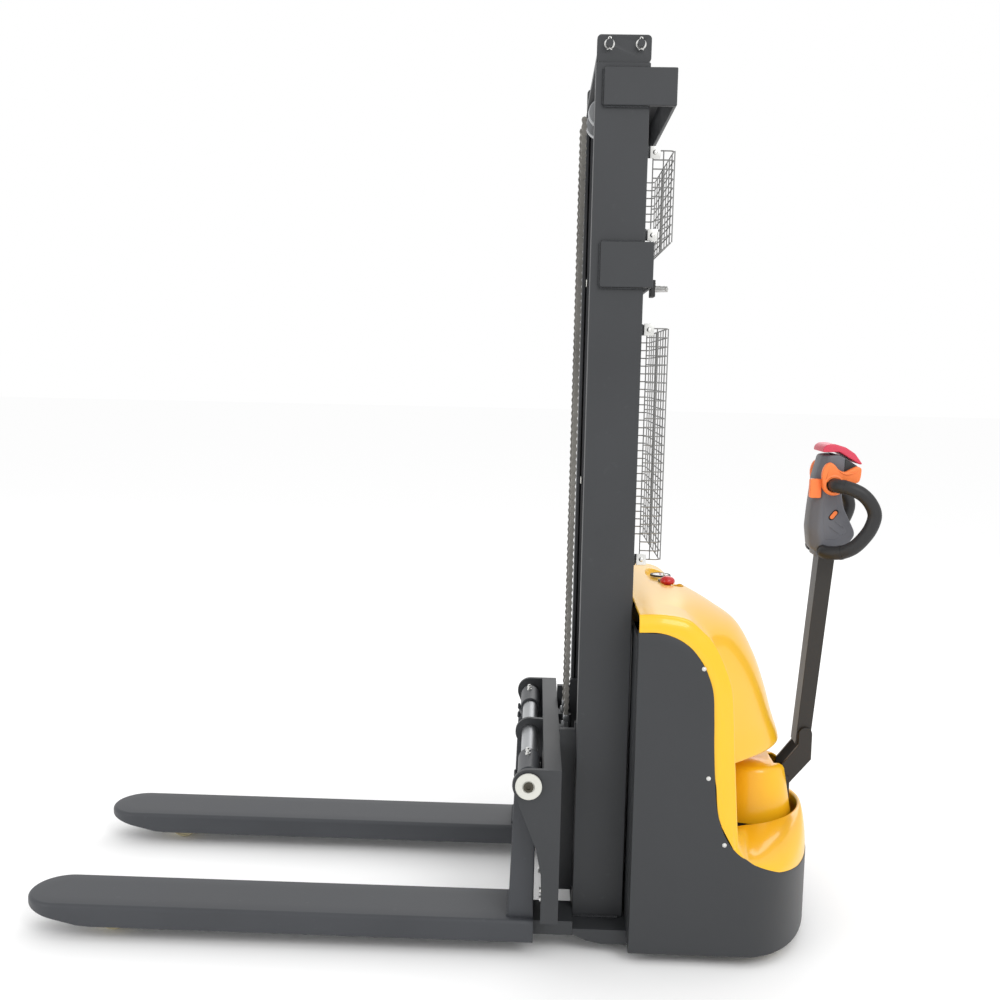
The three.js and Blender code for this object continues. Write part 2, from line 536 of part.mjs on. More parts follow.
// ---------------------------------------------------------------- drive unit
const at = [STEER.x, 0];
const AXLE_Z = DRIVE_WHEEL.radius;
const driveHead = rod('z', at, STEER.plateTop + GAP, STEER.plateTop + 10, STEER.flange, 36)
  .add(box(STEER.x - 54, STEER.x + 54, -60, 60, 203, STEER.plateTop + 4))
  .add(box(STEER.x - 40, STEER.x + 40, 40, 60, 60, STEER.plateTop))
  .add(rod('y', [STEER.x, AXLE_Z], -30, 42, 14, 20))
  .add(box(TILLER.x - 17, TILLER.x + 13, 14, 24, STEER.plateTop + 4, TILLER.z + 14))
  .add(box(TILLER.x - 17, TILLER.x + 13, -24, -14, STEER.plateTop + 4, TILLER.z + 14))
  .add(rod('y', [TILLER.x, TILLER.z], -36, 36, 7, 20));
part('drive_head', driveHead, charcoal);
part('drive_wheel', ring('y', [STEER.x, AXLE_Z], -DRIVE_WHEEL.halfWidth, DRIVE_WHEEL.halfWidth, DRIVE_WHEEL.radius,
  14 + GAP, 48), rubber);
const motor = rod('z', at, STEER.plateTop + 10.4, 312, 46, 28).add(rod('z', at, 311, 328, 26, 20));
part('drive_motor', motor, black);
const turretInner = [[0, 353], [69, 353], [74, 350], [78, 344], [98, 228], [98, 226]];
const turretOuter = [[102, 226], [102, 228], [82, 345], [78, 352], [71, 357], [0, 357]];
const turret = turned([...turretInner, ...turretOuter], ...at, 36)
  .subtract(box(TILLER.x - 30, TILLER.x + 60, -38, 38, 200, 370));
part('turret_cover', turret, yellow);
for (const [name, side] of SIDES) {
  const y = side * CASTER.y;
  const wheelX = CASTER.x + CASTER.trail;
  const fork = rod('z', [CASTER.x, y], 104, CASTER.plateZ - GAP, 22, 24)
    .add(box(CASTER.x - 24, wheelX + 16, y - 26, y + 26, 104, 110))
    .add(box(wheelX - 22, wheelX + 16, y - 26, y - 21, 40, 106))
    .add(box(wheelX - 22, wheelX + 16, y + 21, y + 26, 40, 106))
    .add(rod('y', [wheelX, CASTER.radius], y - 23, y + 23, 6, 16));
  part(`caster_fork_${name}`, fork, zinc);
  part(`caster_wheel_${name}`, ring('y', [wheelX, CASTER.radius], y - CASTER.halfWidth, y + CASTER.halfWidth,
    CASTER.radius, 6 + GAP, 36), urethane);
}

// ---------------------------------------------------------------- tiller
const elbow = new THREE.Shape();
elbow.moveTo(TILLER.x - 14, TILLER.z - 8);
elbow.absarc(TILLER.x, TILLER.z, 16, Math.PI * 1.17, Math.PI * 1.7);
elbow.lineTo(664, 366);
elbow.lineTo(664, 428);
elbow.absarc(648, 428, 16, 0, Math.PI);
elbow.lineTo(632, 400);
elbow.lineTo(594, 350);

// Two elbow plates on the pivot pin and a box section arm that leans back.
function makeArm() {
  const armSide = outline([[626, 402], [660, 398], [697, 866], [659, 866]]);
  let arm = sidePlate(armSide, -25, 25);
  for (const [, side] of SIDES) arm = arm.add(sidePlate(elbow, ...span(side, 26, 33)));
  arm = arm.add(box(630, 660, -27, 27, 404, 428));
  return arm.subtract(rod('y', [TILLER.x, TILLER.z], -50, 50, 7 + GAP, 20));
}
part('tiller_arm', makeArm(), black);

const headSide = outline([
  [648, 873], [700, 873], [716, 885], [735, 915], [734, 927], [707, 980], [700, 1012], [722, 1040],
  [737, 1066], [737, 1078], [692, 1108], [653, 1104], [641, 1050], [634, 975], [631, 930], [637, 884],
]);
const head = sidePlate(headSide, -46, 46)
  .subtract(box(626, 648.4, -50, -26.8, 1002, 1049))
  .subtract(rod('y', [683, 964], -60, -36, 10.4, 20))
  .subtract(rod('y', [683, 964], 36, 60, 10.4, 20));
part('tiller_head', head, headGrey);
const padSide = outline([
  [648, 1112], [690, 1113], [738, 1083], [745, 1085], [726, 1110], [704, 1124], [680, 1131], [659, 1130],
]);
part('safety_pad', sidePlate(padSide, -47, 47), crimson);
for (const [name, side] of SIDES) {
  const out = (y) => side * y;
  const loop = tubeAlong([
    [GRIP.x, out(46.5), GRIP.z], [GRIP.x, out(70), GRIP.z], [GRIP.x + 4, out(92), GRIP.z - 1],
    [700, out(105), 1033], [729, out(110), 1020], [750, out(110), 998], [759.82, out(110), 973],
    [753, out(110), 944], [737, out(109), 918], [716, out(104), 895], [694, out(90), 882], [672, out(74), 878],
    [662, out(62), 878], [662, out(46.5), 878],
  ], GRIP.radius, 24, 8);
  part(`grip_${name}`, loop, rubber);
  const wing = outline([
    [650, 1034], [658, 1084], [668, 1088], [682, 1076], [700, 1068], [728, 1080], [738, 1074], [735, 1050],
    [706, 1046], [700, 1040],
  ]);
  const throttle = rod('y', [GRIP.x, GRIP.z], ...span(side, 47, 66), 26, 28)
    .add(sidePlate(wing, ...span(side, 47, 66)))
    .subtract(rod('y', [GRIP.x, GRIP.z], out(57) - 30, out(57) + 30, GRIP.radius + 0.8, 24));
  part(`throttle_${name}`, throttle, orange);
}
part('lift_button', box(627, 645.5, -49, -30.4, 1002.6, 1048.4), orange);
part('creep_button', rod('y', [683, 964], -49, -40, 10, 20), orange);
part('horn_button', rod('y', [683, 964], 40, 49, 10, 20), orange);
export default truck;
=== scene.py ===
"""Walkie stacker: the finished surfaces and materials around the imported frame.

Every outline below is in millimetres in the truck's own frame, where X is measured from the back
of the fork heels towards the operator, Y across the truck with the left side negative, and Z up.
"""
import json
import math

import bmesh
import bpy
import numpy as np
from mathutils import Matrix, Vector

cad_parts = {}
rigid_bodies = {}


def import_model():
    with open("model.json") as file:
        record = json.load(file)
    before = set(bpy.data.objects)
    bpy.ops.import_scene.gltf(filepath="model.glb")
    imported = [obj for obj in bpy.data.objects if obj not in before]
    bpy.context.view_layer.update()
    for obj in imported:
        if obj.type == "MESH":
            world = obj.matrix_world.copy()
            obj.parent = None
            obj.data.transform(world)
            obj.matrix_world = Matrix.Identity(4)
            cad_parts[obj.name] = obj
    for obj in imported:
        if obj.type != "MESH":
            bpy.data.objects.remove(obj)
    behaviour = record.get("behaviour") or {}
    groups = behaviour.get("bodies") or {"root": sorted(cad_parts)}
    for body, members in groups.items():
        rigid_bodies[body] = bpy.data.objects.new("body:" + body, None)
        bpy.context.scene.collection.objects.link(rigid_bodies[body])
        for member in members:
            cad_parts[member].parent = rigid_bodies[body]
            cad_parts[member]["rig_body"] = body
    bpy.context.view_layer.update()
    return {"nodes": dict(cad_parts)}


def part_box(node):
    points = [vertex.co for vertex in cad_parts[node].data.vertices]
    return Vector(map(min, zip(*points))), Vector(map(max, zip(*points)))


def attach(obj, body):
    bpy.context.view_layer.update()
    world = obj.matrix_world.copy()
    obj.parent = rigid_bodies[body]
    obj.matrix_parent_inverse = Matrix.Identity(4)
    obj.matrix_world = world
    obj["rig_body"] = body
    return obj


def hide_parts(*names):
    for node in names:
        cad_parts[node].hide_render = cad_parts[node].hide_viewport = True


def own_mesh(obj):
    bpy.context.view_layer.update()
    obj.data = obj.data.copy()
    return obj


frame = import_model()

MM = 0.001
BAR_X = -17.0
BAR = (BAR_X, 405.0)
bar_low, bar_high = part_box("fork_bar")
HEEL = (bar_low.x + bar_high.x) / 2 - BAR_X * MM
SIDES = (("left", -1), ("right", 1))


def to_frame(points):
    """Truck millimetres to frame metres: each point times a thousandth, moved to the heel's place."""
    return np.asarray(points, float) * MM + np.array([HEEL, 0.0, 0.0])


def body_of_node(node):
    """The body that a CAD piece rides on."""
    return frame["nodes"][node]["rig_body"]


# ---------------------------------------------------------------- surfaces
def curve_through(points, count):
    """A smooth line through the given points: each stretch is a cubic whose end slope is the mean
    of the slopes on both sides, each weighted by the other's root distance, sampled evenly by
    point number."""
    p = np.asarray(points, float)
    gap = np.maximum(np.linalg.norm(np.diff(p, axis=0), axis=1), 1e-6)**0.5
    slope = np.diff(p, axis=0) / gap[:, None]
    inner = (slope[:-1] * gap[1:, None] + slope[1:] * gap[:-1, None]) / (gap[:-1] + gap[1:])[:, None]
    slopes = np.vstack([slope[:1], inner, slope[-1:]])
    t = np.linspace(0, len(p) - 1, count)
    i = np.minimum(t.astype(int), len(p) - 2)
    f, g = (t - i)[:, None], gap[i][:, None]
    ends = (1 + 2 * f) * (1 - f)**2 * p[i] + f**2 * (3 - 2 * f) * p[i + 1]
    return ends + g * (f * (1 - f)**2 * slopes[i] - f**2 * (1 - f) * slopes[i + 1])


def evenly(points, count):
    """The same line with its points spread evenly along its length."""
    p = np.asarray(points, float)
    steps = np.linalg.norm(np.diff(p, axis=0), axis=1)
    along = np.concatenate([[0], np.cumsum(steps)])
    want = np.linspace(0, along[-1], count)
    return np.stack([np.interp(want, along, p[:, k]) for k in range(p.shape[1])], axis=1)


def skin(grid, wrap=True, caps=True):
    """Faces over a grid of points: point (row, column) joins the next row and the next column. With
    wrap the last column meets the first, and caps close the first and last rows with one face each."""
    grid = np.asarray(grid, float)
    rows, columns = grid.shape[:2]
    index = np.arange(rows * columns).reshape(rows, columns)
    beside = np.roll(index, -1, axis=1) if wrap else index[:, 1:]
    here = index if wrap else index[:, :-1]
    quads = np.stack([here[:-1], beside[:-1], beside[1:], here[1:]], axis=-1).reshape(-1, 4)
    faces = quads.tolist()
    if caps and wrap:
        faces.append(index[0][::-1].tolist())
        faces.append(index[-1].tolist())
    return grid.reshape(-1, 3), faces


def joined(skins):
    """Several skins as one list of points and faces, each one's face numbers moved past the last."""
    points, faces, start = [], [], 0
    for p, f in skins:
        points.append(p)
        faces += [[n + start for n in face] for face in f]
        start += len(p)
    return np.vstack(points), faces


def swapped(a, b, c, axis):
    """Puts flat coordinates a, b and the height c along an axis: across gives (a, c, b) for y."""
    order = {"z": (a, b, c), "y": (a, c, b), "x": (c, a, b)}[axis]
    return np.stack(np.broadcast_arrays(*order), axis=-1)


def turned(profile, centre, axis="z", sides=40, caps=True):
    """A profile of (radius, height) points turned about an axis: the radius times the cosine and
    the sine of the turn, with the height along the axis. The centre is (a, b) in the other two."""
    r, h = np.asarray(profile, float).T
    turn = np.linspace(0, 2 * math.pi, sides, endpoint=False)
    a = centre[0] + r[:, None] * np.cos(turn)
    b = centre[1] + r[:, None] * np.sin(turn)
    return skin(swapped(a, b, h[:, None], axis), caps=caps)


def washer(profile, centre, axis, sides=48):
    """A profile that comes back to its first point, turned about an axis with the middle open."""
    return turned(profile + profile[:1], centre, axis, sides, caps=False)


def tube(path, radius, sides=12):
    """A round section carried along a path: each ring is the centre plus the radius times the
    cosine and sine of the turn along two directions square to the path."""
    p = np.asarray(path, float)
    ahead = np.gradient(p, axis=0)
    ahead /= np.linalg.norm(ahead, axis=1)[:, None]
    spread = np.ptp(p, axis=0)
    up = np.zeros(3)
    up[int(np.argmin(spread))] = 1.0
    side = np.cross(ahead, up)
    side /= np.linalg.norm(side, axis=1)[:, None]
    over = np.cross(side, ahead)
    turn = np.linspace(0, 2 * math.pi, sides, endpoint=False)
    r = np.broadcast_to(radius, len(p))[:, None, None]
    ring = np.cos(turn)[None, :, None] * side[:, None, :] + np.sin(turn)[None, :, None] * over[:, None, :]
    return skin(p[:, None, :] + r * ring)


def inset(outline, distance):
    """An outline moved inwards: each point goes along the mean of its two edges' inner normals,
    far enough that both edges move by the distance."""
    p = np.asarray(outline, float)
    back, ahead = p - np.roll(p, 1, axis=0), np.roll(p, -1, axis=0) - p
    back /= np.maximum(np.linalg.norm(back, axis=1), 1e-9)[:, None]
    ahead /= np.maximum(np.linalg.norm(ahead, axis=1), 1e-9)[:, None]
    n1 = np.stack([-back[:, 1], back[:, 0]], axis=1)
    n2 = np.stack([-ahead[:, 1], ahead[:, 0]], axis=1)
    middle = n1 + n2
    middle /= np.maximum(np.linalg.norm(middle, axis=1), 1e-9)[:, None]
    reach = 1 / np.clip((middle * n1).sum(axis=1), 0.6, 1)
    area = 0.5 * np.sum(p[:, 0] * np.roll(p[:, 1], -1) - np.roll(p[:, 0], -1) * p[:, 1])
    return p + middle * (distance * math.copysign(1, area) * reach)[:, None]


def plate(outline, axis, start, end, edge=1.0, steps=4):
    """An outline carried from start to end along an axis, with both rims rounded: over each rim
    the outline is inset by edge times one less the sine of the turn, and moves on by its cosine."""
    edge = min(edge, abs(end - start) / 2.01)
    turn = np.linspace(0, math.pi / 2, steps + 1)
    rings, sign = [], math.copysign(1, end - start)
    for t in turn:
        rings.append((inset(outline, edge * (1 - math.sin(t))), start + sign * edge * (1 - math.cos(t))))
    for t in turn[::-1]:
        rings.append((inset(outline, edge * (1 - math.sin(t))), end - sign * edge * (1 - math.cos(t))))
    return skin(np.stack([swapped(o[:, 0], o[:, 1], np.full(len(o), h), axis) for o, h in rings]))


def rectangle(a0, a1, b0, b1, corner=1.0, steps=4):
    """A rectangle with quarter circle corners."""
    corner = min(corner, (a1 - a0) / 2.01, (b1 - b0) / 2.01)
    turn = np.linspace(0, math.pi / 2, steps + 1)
    centres = ((a1 - corner, b1 - corner), (a0 + corner, b1 - corner), (a0 + corner, b0 + corner),
               (a1 - corner, b0 + corner))
    quarters = [np.stack([ca + corner * np.cos(turn + k * math.pi / 2),
                          cb + corner * np.sin(turn + k * math.pi / 2)], axis=1)
                for k, (ca, cb) in enumerate(centres)]
    return np.vstack(quarters)


def block(x0, x1, y0, y1, z0, z1, edge=1.5):
    """A box with rounded edges: a rectangle with round corners carried upwards as a plate."""
    return plate(rectangle(x0, x1, y0, y1, edge), "z", z0, z1, edge, 3)


def rounded(outline, radius, steps=5):
    """An outline with its corners cut round: each corner becomes a curve that leaves one edge and
    joins the next, the weighted mean of the corner and the two points at the radius from it."""
    p = np.asarray(outline, float)
    before, after = np.roll(p, 1, axis=0), np.roll(p, -1, axis=0)
    d1 = np.linalg.norm(before - p, axis=1)[:, None]
    d2 = np.linalg.norm(after - p, axis=1)[:, None]
    a = p + (before - p) * np.minimum(radius / d1, 0.48)
    b = p + (after - p) * np.minimum(radius / d2, 0.48)
    t = np.linspace(0, 1, steps + 1)[None, :, None]
    bends = (1 - t)**2 * a[:, None] + 2 * t * (1 - t) * p[:, None] + t**2 * b[:, None]
    return bends.reshape(-1, 2)


def span(side, inner, outer):
    """A stretch across the truck on the left (-1) or the right (+1), lowest first."""
    return (-outer, -inner) if side < 0 else (inner, outer)


# ---------------------------------------------------------------- pieces
def piece(name, skins, body, finish, stands_for=(), sharp=35, wall=0.0):
    """Makes one object from its skins, in the frame's metres, with doubles merged and faces out. A
    wall gives an open skin its thickness inwards."""
    points, faces = joined(skins)
    mesh = bpy.data.meshes.new(name)
    mesh.from_pydata(to_frame(points).tolist(), [], faces)
    form = bmesh.new()
    form.from_mesh(mesh)
    bmesh.ops.remove_doubles(form, verts=form.verts, dist=2e-6)
    bmesh.ops.recalc_face_normals(form, faces=form.faces)
    form.to_mesh(mesh)
    form.free()
    return dress(name, mesh, body, finish, stands_for, sharp, wall)


def dress(name, mesh, body, finish, stands_for, sharp, wall=0.0):
    """Puts a mesh in the scene with its shading, finish, wall, body and the CAD pieces it replaces."""
    mesh.shade_smooth()
    mesh.set_sharp_from_angle(angle=math.radians(sharp))
    thing = bpy.data.objects.new(name, mesh)
    bpy.context.scene.collection.objects.link(thing)
    mesh.materials.clear()
    mesh.materials.append(finish)
    if wall:
        thicken = thing.modifiers.new("wall", "SOLIDIFY")
        thicken.thickness = wall
        thicken.offset = -1
        thicken.use_even_offset = False
    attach(thing, body)
    if stands_for:
        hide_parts(*stands_for)
    return thing


def softened(node, finish, edge=1.5, sharp=30):
    """A copy of a CAD piece with its flat faces joined again and its corners rounded by a bevel."""
    mesh = frame["nodes"][node].data.copy()
    form = bmesh.new()
    form.from_mesh(mesh)
    bmesh.ops.remove_doubles(form, verts=form.verts, dist=2e-6)
    bmesh.ops.dissolve_limit(form, angle_limit=math.radians(0.5), verts=form.verts, edges=form.edges)
    form.to_mesh(mesh)
    form.free()
    thing = dress(node + "_finish", mesh, body_of_node(node), finish, (node,), sharp)
    bevel = thing.modifiers.new("edges", "BEVEL")
    bevel.width = edge * MM
    bevel.segments = 2
    bevel.limit_method = "ANGLE"
    bevel.angle_limit = math.radians(38)
    bevel.use_clamp_overlap = True
    bevel.harden_normals = True
    return thing


# ---------------------------------------------------------------- finishes
def finish(name, colour, roughness, metallic=0.0, grain=0.0, scale=200.0, mottle=0.06, coat=0.0, wear=0.0,
           specular=0.5):
    """A finish on object coordinates: a fine bump grain, a broad mottle that darkens the colour a
    little, roughness that wanders with it, and an optional scatter of worn flecks."""
    material = bpy.data.materials.new(name)
    material.use_nodes = True
    nodes, links = material.node_tree.nodes, material.node_tree.links
    shader = nodes["Principled BSDF"]
    shader.inputs["Metallic"].default_value = metallic
    shader.inputs["Specular IOR Level"].default_value = specular
    if coat:
        shader.inputs["Coat Weight"].default_value = coat
        shader.inputs["Coat Roughness"].default_value = 0.06
    place = nodes.new("ShaderNodeTexCoord")
    broad = nodes.new("ShaderNodeTexNoise")
    broad.inputs["Scale"].default_value = 5.5
    broad.inputs["Detail"].default_value = 5.0
    links.new(place.outputs["Object"], broad.inputs["Vector"])
    tone = nodes.new("ShaderNodeValToRGB")
    base = np.array(colour)
    tone.color_ramp.elements[0].position = 0.3
    tone.color_ramp.elements[0].color = (*(base * (1 - mottle)), 1)
    tone.color_ramp.elements[1].position = 0.7
    tone.color_ramp.elements[1].color = (*(base * (1 + mottle * 0.5)), 1)
    links.new(broad.outputs["Fac"], tone.inputs["Fac"])
    colour_out = tone.outputs["Color"]
    if wear:
        flecks = nodes.new("ShaderNodeTexNoise")
        flecks.inputs["Scale"].default_value = 46.0
        flecks.inputs["Detail"].default_value = 8.0
        links.new(place.outputs["Object"], flecks.inputs["Vector"])
        mask = nodes.new("ShaderNodeMapRange")
        mask.inputs["From Min"].default_value = 0.66
        mask.inputs["From Max"].default_value = 0.74
        mask.inputs["To Max"].default_value = wear
        links.new(flecks.outputs["Fac"], mask.inputs["Value"])
        blend = nodes.new("ShaderNodeMix")
        blend.data_type = "RGBA"
        blend.inputs["B"].default_value = (*np.minimum(base * 1.7 + 0.02, 1), 1)
        links.new(mask.outputs["Result"], blend.inputs["Factor"])
        links.new(colour_out, blend.inputs["A"])
        colour_out = blend.outputs["Result"]
    links.new(colour_out, shader.inputs["Base Color"])
    rough = nodes.new("ShaderNodeMapRange")
    rough.inputs["To Min"].default_value = roughness * 0.86
    rough.inputs["To Max"].default_value = min(roughness * 1.14, 1)
    links.new(broad.outputs["Fac"], rough.inputs["Value"])
    links.new(rough.outputs["Result"], shader.inputs["Roughness"])
    if grain:
        fine = nodes.new("ShaderNodeTexNoise")
        fine.inputs["Scale"].default_value = scale
        fine.inputs["Detail"].default_value = 3.0
        links.new(place.outputs["Object"], fine.inputs["Vector"])
        bump = nodes.new("ShaderNodeBump")
        bump.inputs["Strength"].default_value = grain
        bump.inputs["Distance"].default_value = 0.0006
        links.new(fine.outputs["Fac"], bump.inputs["Height"])
        links.new(bump.outputs["Normal"], shader.inputs["Normal"])
    return material


def brushed(name, colour, roughness, stretch, metallic=1.0):
    """Bare metal with fine lines: noise stretched along one axis drives a shallow bump, so that
    highlights break up across the lines."""
    material = finish(name, colour, roughness, metallic, mottle=0.1)
    nodes, links = material.node_tree.nodes, material.node_tree.links
    shader = nodes["Principled BSDF"]
    place = nodes.new("ShaderNodeTexCoord")
    turn = nodes.new("ShaderNodeMapping")
    turn.inputs["Scale"].default_value = stretch
    lines = nodes.new("ShaderNodeTexNoise")
    lines.inputs["Scale"].default_value = 1.0
    lines.inputs["Detail"].default_value = 4.0
    links.new(place.outputs["Object"], turn.inputs["Vector"])
    links.new(turn.outputs["Vector"], lines.inputs["Vector"])
    bump = nodes.new("ShaderNodeBump")
    bump.inputs["Strength"].default_value = 0.25
    bump.inputs["Distance"].default_value = 0.0004
    links.new(lines.outputs["Fac"], bump.inputs["Height"])
    links.new(bump.outputs["Normal"], shader.inputs["Normal"])
    return material


charcoal = finish("charcoal_paint", (0.036, 0.038, 0.041), 0.46, grain=0.16, scale=420, mottle=0.08,
                  wear=0.12, specular=0.36)
fork_grey = finish("fork_paint", (0.044, 0.047, 0.053), 0.45, grain=0.2, scale=380, mottle=0.1,
                   wear=0.2, specular=0.4)
arm_black = finish("arm_paint", (0.024, 0.021, 0.018), 0.4, grain=0.15, scale=420, mottle=0.1, specular=0.4)
yellow = finish("yellow_gloss", (0.88, 0.485, 0.010), 0.3, grain=0.05, scale=130, mottle=0.03,
                coat=0.35, specular=0.4)
shell_grey = finish("shell_paint", (0.035, 0.037, 0.040), 0.44, grain=0.22, scale=520, mottle=0.05,
                    specular=0.36)
zinc = brushed("bright_zinc", (0.72, 0.72, 0.70), 0.3, (300, 300, 300))
bar_steel = brushed("bar_steel", (0.40, 0.41, 0.42), 0.4, (900, 14, 900))
turned_steel = brushed("turned_steel", (0.42, 0.43, 0.44), 0.36, (500, 40, 500))
chain_steel = finish("oiled_chain_steel", (0.27, 0.26, 0.24), 0.4, 0.75, grain=0.3, scale=700, mottle=0.3)
wire_steel = finish("wire_steel", (0.24, 0.24, 0.235), 0.4, 0.6, mottle=0.15)
washer_white = finish("washer_white", (0.60, 0.60, 0.55), 0.45, grain=0.1, scale=300, mottle=0.05)
bolt_brown = finish("bolt_brown", (0.05, 0.045, 0.03), 0.42, 0.3, grain=0.2, scale=500)
black_plastic = finish("black_plastic", (0.016, 0.016, 0.017), 0.5, grain=0.3, scale=600, mottle=0.08)
head_plastic = finish("head_plastic", (0.125, 0.128, 0.145), 0.52, grain=0.45, scale=800, mottle=0.05)
orange_plastic = finish("orange_plastic", (0.9, 0.21, 0.045), 0.42, grain=0.15, scale=500, mottle=0.05)
red_plastic = finish("red_plastic", (0.60, 0.018, 0.02), 0.3, grain=0.08, scale=400, mottle=0.05, coat=0.3)
crimson = finish("crimson_pad", (0.62, 0.045, 0.09), 0.42, grain=0.2, scale=500, mottle=0.06)
rubber = finish("grip_rubber", (0.012, 0.012, 0.013), 0.5, grain=0.4, scale=700, mottle=0.1)
tyre = finish("drive_tyre", (0.02, 0.02, 0.02), 0.7, grain=0.4, scale=300, mottle=0.15)
urethane = finish("roller_urethane", (0.62, 0.55, 0.36), 0.45, grain=0.15, scale=300, mottle=0.06)
white_plastic = finish("white_plastic", (0.78, 0.77, 0.73), 0.4, grain=0.1, scale=300, mottle=0.03)
# A near-black finish that paints the shade inside the wells round the tiller's buttons.
recess_shade = finish("painted_recess_shade", (0.008, 0.008, 0.008), 0.7, grain=0.1, scale=300)


# ---------------------------------------------------------------- forks
FORK_Y = 262.5
BLADE = {"half": 80.0, "straight": 1070.0, "bottom": 37.0, "top": 86.0, "wall": 6.0, "round": 9.0,
         "taper_from": 1006.0, "taper": 144.0, "rise": 33.0}


def blade(side):
    """The section is an inverted U of signed reach and height with round shoulders. Along the
    straight the reach lies across the fork; round the tip the section turns about the tip's
    centre by up to a quarter, so reach times the cosine goes across and reach times the sine ahead."""
    b = BLADE
    turn = np.linspace(math.pi, math.pi / 2, 7)
    arc = np.stack([-b["half"] + b["round"] + b["round"] * np.cos(turn),
                    b["top"] - b["round"] + b["round"] * np.sin(turn)], axis=1)
    inner = b["half"] - b["wall"]
    left = np.vstack([[[-inner, b["bottom"]], [-b["half"], b["bottom"]]], arc, [[-40.0, b["top"]]]])
    over = np.vstack([left, [[0.0, b["top"]]], left[::-1] * [-1, 1]])
    roof = b["top"] - b["wall"]
    section = np.vstack([over, [[inner, roof], [0.0, roof], [-inner, roof]]])
    centre = np.concatenate([np.linspace(0, -b["straight"], 40), np.full(24, -b["straight"])])
    swing = np.concatenate([np.zeros(40), np.linspace(0, math.pi / 2, 25)[1:]])
    reach, height = section[:, 0][None, :], section[:, 1][None, :]
    x = centre[:, None] - np.abs(reach) * np.sin(swing)[:, None]
    y = reach * np.cos(swing)[:, None] + side * FORK_Y
    lift = b["rise"] * np.clip((-b["taper_from"] - x) / b["taper"], 0, 1)
    z = np.where(height < b["bottom"] + 1, height + lift, height)
    return skin(np.stack([x, y, z], axis=-1), caps=False)


def screw_head(centre, axis, base, radius, height):
    """A socket screw: a cylinder with a rounded rim and a shallow socket, turned about its axis."""
    s = math.copysign(1, height)
    h = abs(height)
    profile = [(0, 0), (radius, 0), (radius, 0.75 * h), (radius * 0.93, h)]
    profile += [(radius * 0.5, h), (radius * 0.5, h * 0.35), (0, h * 0.35)]
    return turned([(r, base + s * z) for r, z in profile], centre, axis, 18)


def dome(centre, axis, base, radius, height, sides=18):
    """A domed head: radius times the cosine and height times the sine of a quarter turn."""
    turn = np.linspace(0, math.pi / 2, 7)
    profile = [(0, base), (radius, base)]
    profile += [(radius * math.cos(t), base + height * (0.25 + 0.75 * math.sin(t))) for t in turn]
    return turned(profile, centre, axis, sides)


def bead(points, radius, seed):
    """A weld bead: a tube whose radius swells and falls along its length as a rippled sine."""
    path = evenly(points, max(12, int(len(points) * 40)))
    n = np.arange(len(path))
    wobble = 0.12 * np.sin(n * 0.7 + seed) * np.sin(n * 0.23 + 2 * seed)
    return tube(path, radius * (1 + 0.18 * np.sin(n * 2.1) + wobble), 8)


def make_fork(name, side):
    """One fork: the blade, its upright carried across as a plate, the sleeve turned round the bar,
    weld beads at the joins, and two set screws that lean a little forward on the sleeve."""
    y = side * FORK_Y
    upright = rounded([(-56, 84), (0, 84), (0, 372), (-12, 388), (-30, 388), (-48, 372)], 5)
    parts = [blade(side), plate(upright[::-1], "y", y - 62, y + 62, 3)]
    bore, outer = 19.8, 25.0
    sleeve = [(bore, y - 62), (outer - 1.5, y - 62), (outer, y - 60.5), (outer, y + 60.5),
              (outer - 1.5, y + 62), (bore, y + 62)]
    parts.append(washer(sleeve, BAR, "y"))
    for gap in (-1, 1):
        parts.append(bead([(-47, y + gap * 55, 378), (-47, y + gap * 20, 378)], 3.0, gap))
    parts.append(bead([(-56, y - 60, 88), (-56, y + 60, 88)], 4.0, side))
    piece(f"fork_{name}_blade", parts, f"fork_{name}", fork_grey, (f"fork_{name}",), 32)
    screws = []
    for along in (20, 45):
        lean = math.radians(97)
        foot = np.array([BAR[0] + 23 * math.cos(lean), y + along, BAR[1] + 23 * math.sin(lean)])
        out = np.array([math.cos(lean), 0, math.sin(lean)])
        screws.append(tube([foot, foot + out * 5, foot + out * 5.4], np.array([6.0, 6.0, 5.0]), 14))
        screws.append(tube([foot + out * 5, foot + out * 9], 4.0, 12))
    piece(f"set_screws_{name}", screws, f"fork_{name}", zinc)


for name, side in SIDES:
    make_fork(name, side)

# ---------------------------------------------------------------- carriage
softened("carriage_frame", charcoal, 1.8)
softened("fork_bar", bar_steel, 1.5)
for name, side in SIDES:
    base = side * 376.4
    ring = [(0, base), (27.2, base), (28.6, base + side * 1.4), (28.6, base + side * 5.6),
            (27.0, base + side * 7), (13.5, base + side * 7), (12.0, base + side * 5.2),
            (0, base + side * 5.2)]
    piece(f"bar_washer_{name}", [turned(ring, BAR, "y", 48)], "carriage", washer_white,
          (f"bar_end_cap_{name}",), 30)
    bolt = [screw_head(BAR, "y", base + side * 5, 11.0, side * 4.6)]
    piece(f"bar_bolt_{name}", bolt, "carriage", bolt_brown, (), 30)

beads = []
for _, side in SIDES:
    inside = side * 361.5
    beads.append(bead([(16, inside, 378), (52, inside, 378)], 3.2, 1))
    beads.append(bead([(18, inside, 159), (52, inside, 159)], 3.2, 2))
    beads.append(bead([(39, side * 193, 378), (39, side * 193, 330)], 3.0, 3))
    beads.append(bead([(39, side * 193, 159), (39, side * 193, 200)], 3.0, 4))
beads.append(bead([(16, -7, 379), (16, -7, 439)], 3.0, 5))
beads.append(bead([(16, 7, 379), (16, 7, 439)], 3.0, 6))
piece("carriage_welds", beads, "carriage", charcoal)

adjusters = []
for _, side in SIDES:
    for z in (118, 138):
        adjusters.append(screw_head((side * 150, z), "x", 17, 8.0, -6.0))
        adjusters.append(screw_head((side * 300, z), "x", 17, 6.5, -5.0))
piece("lower_beam_screws", adjusters, "carriage", zinc, (), 30)

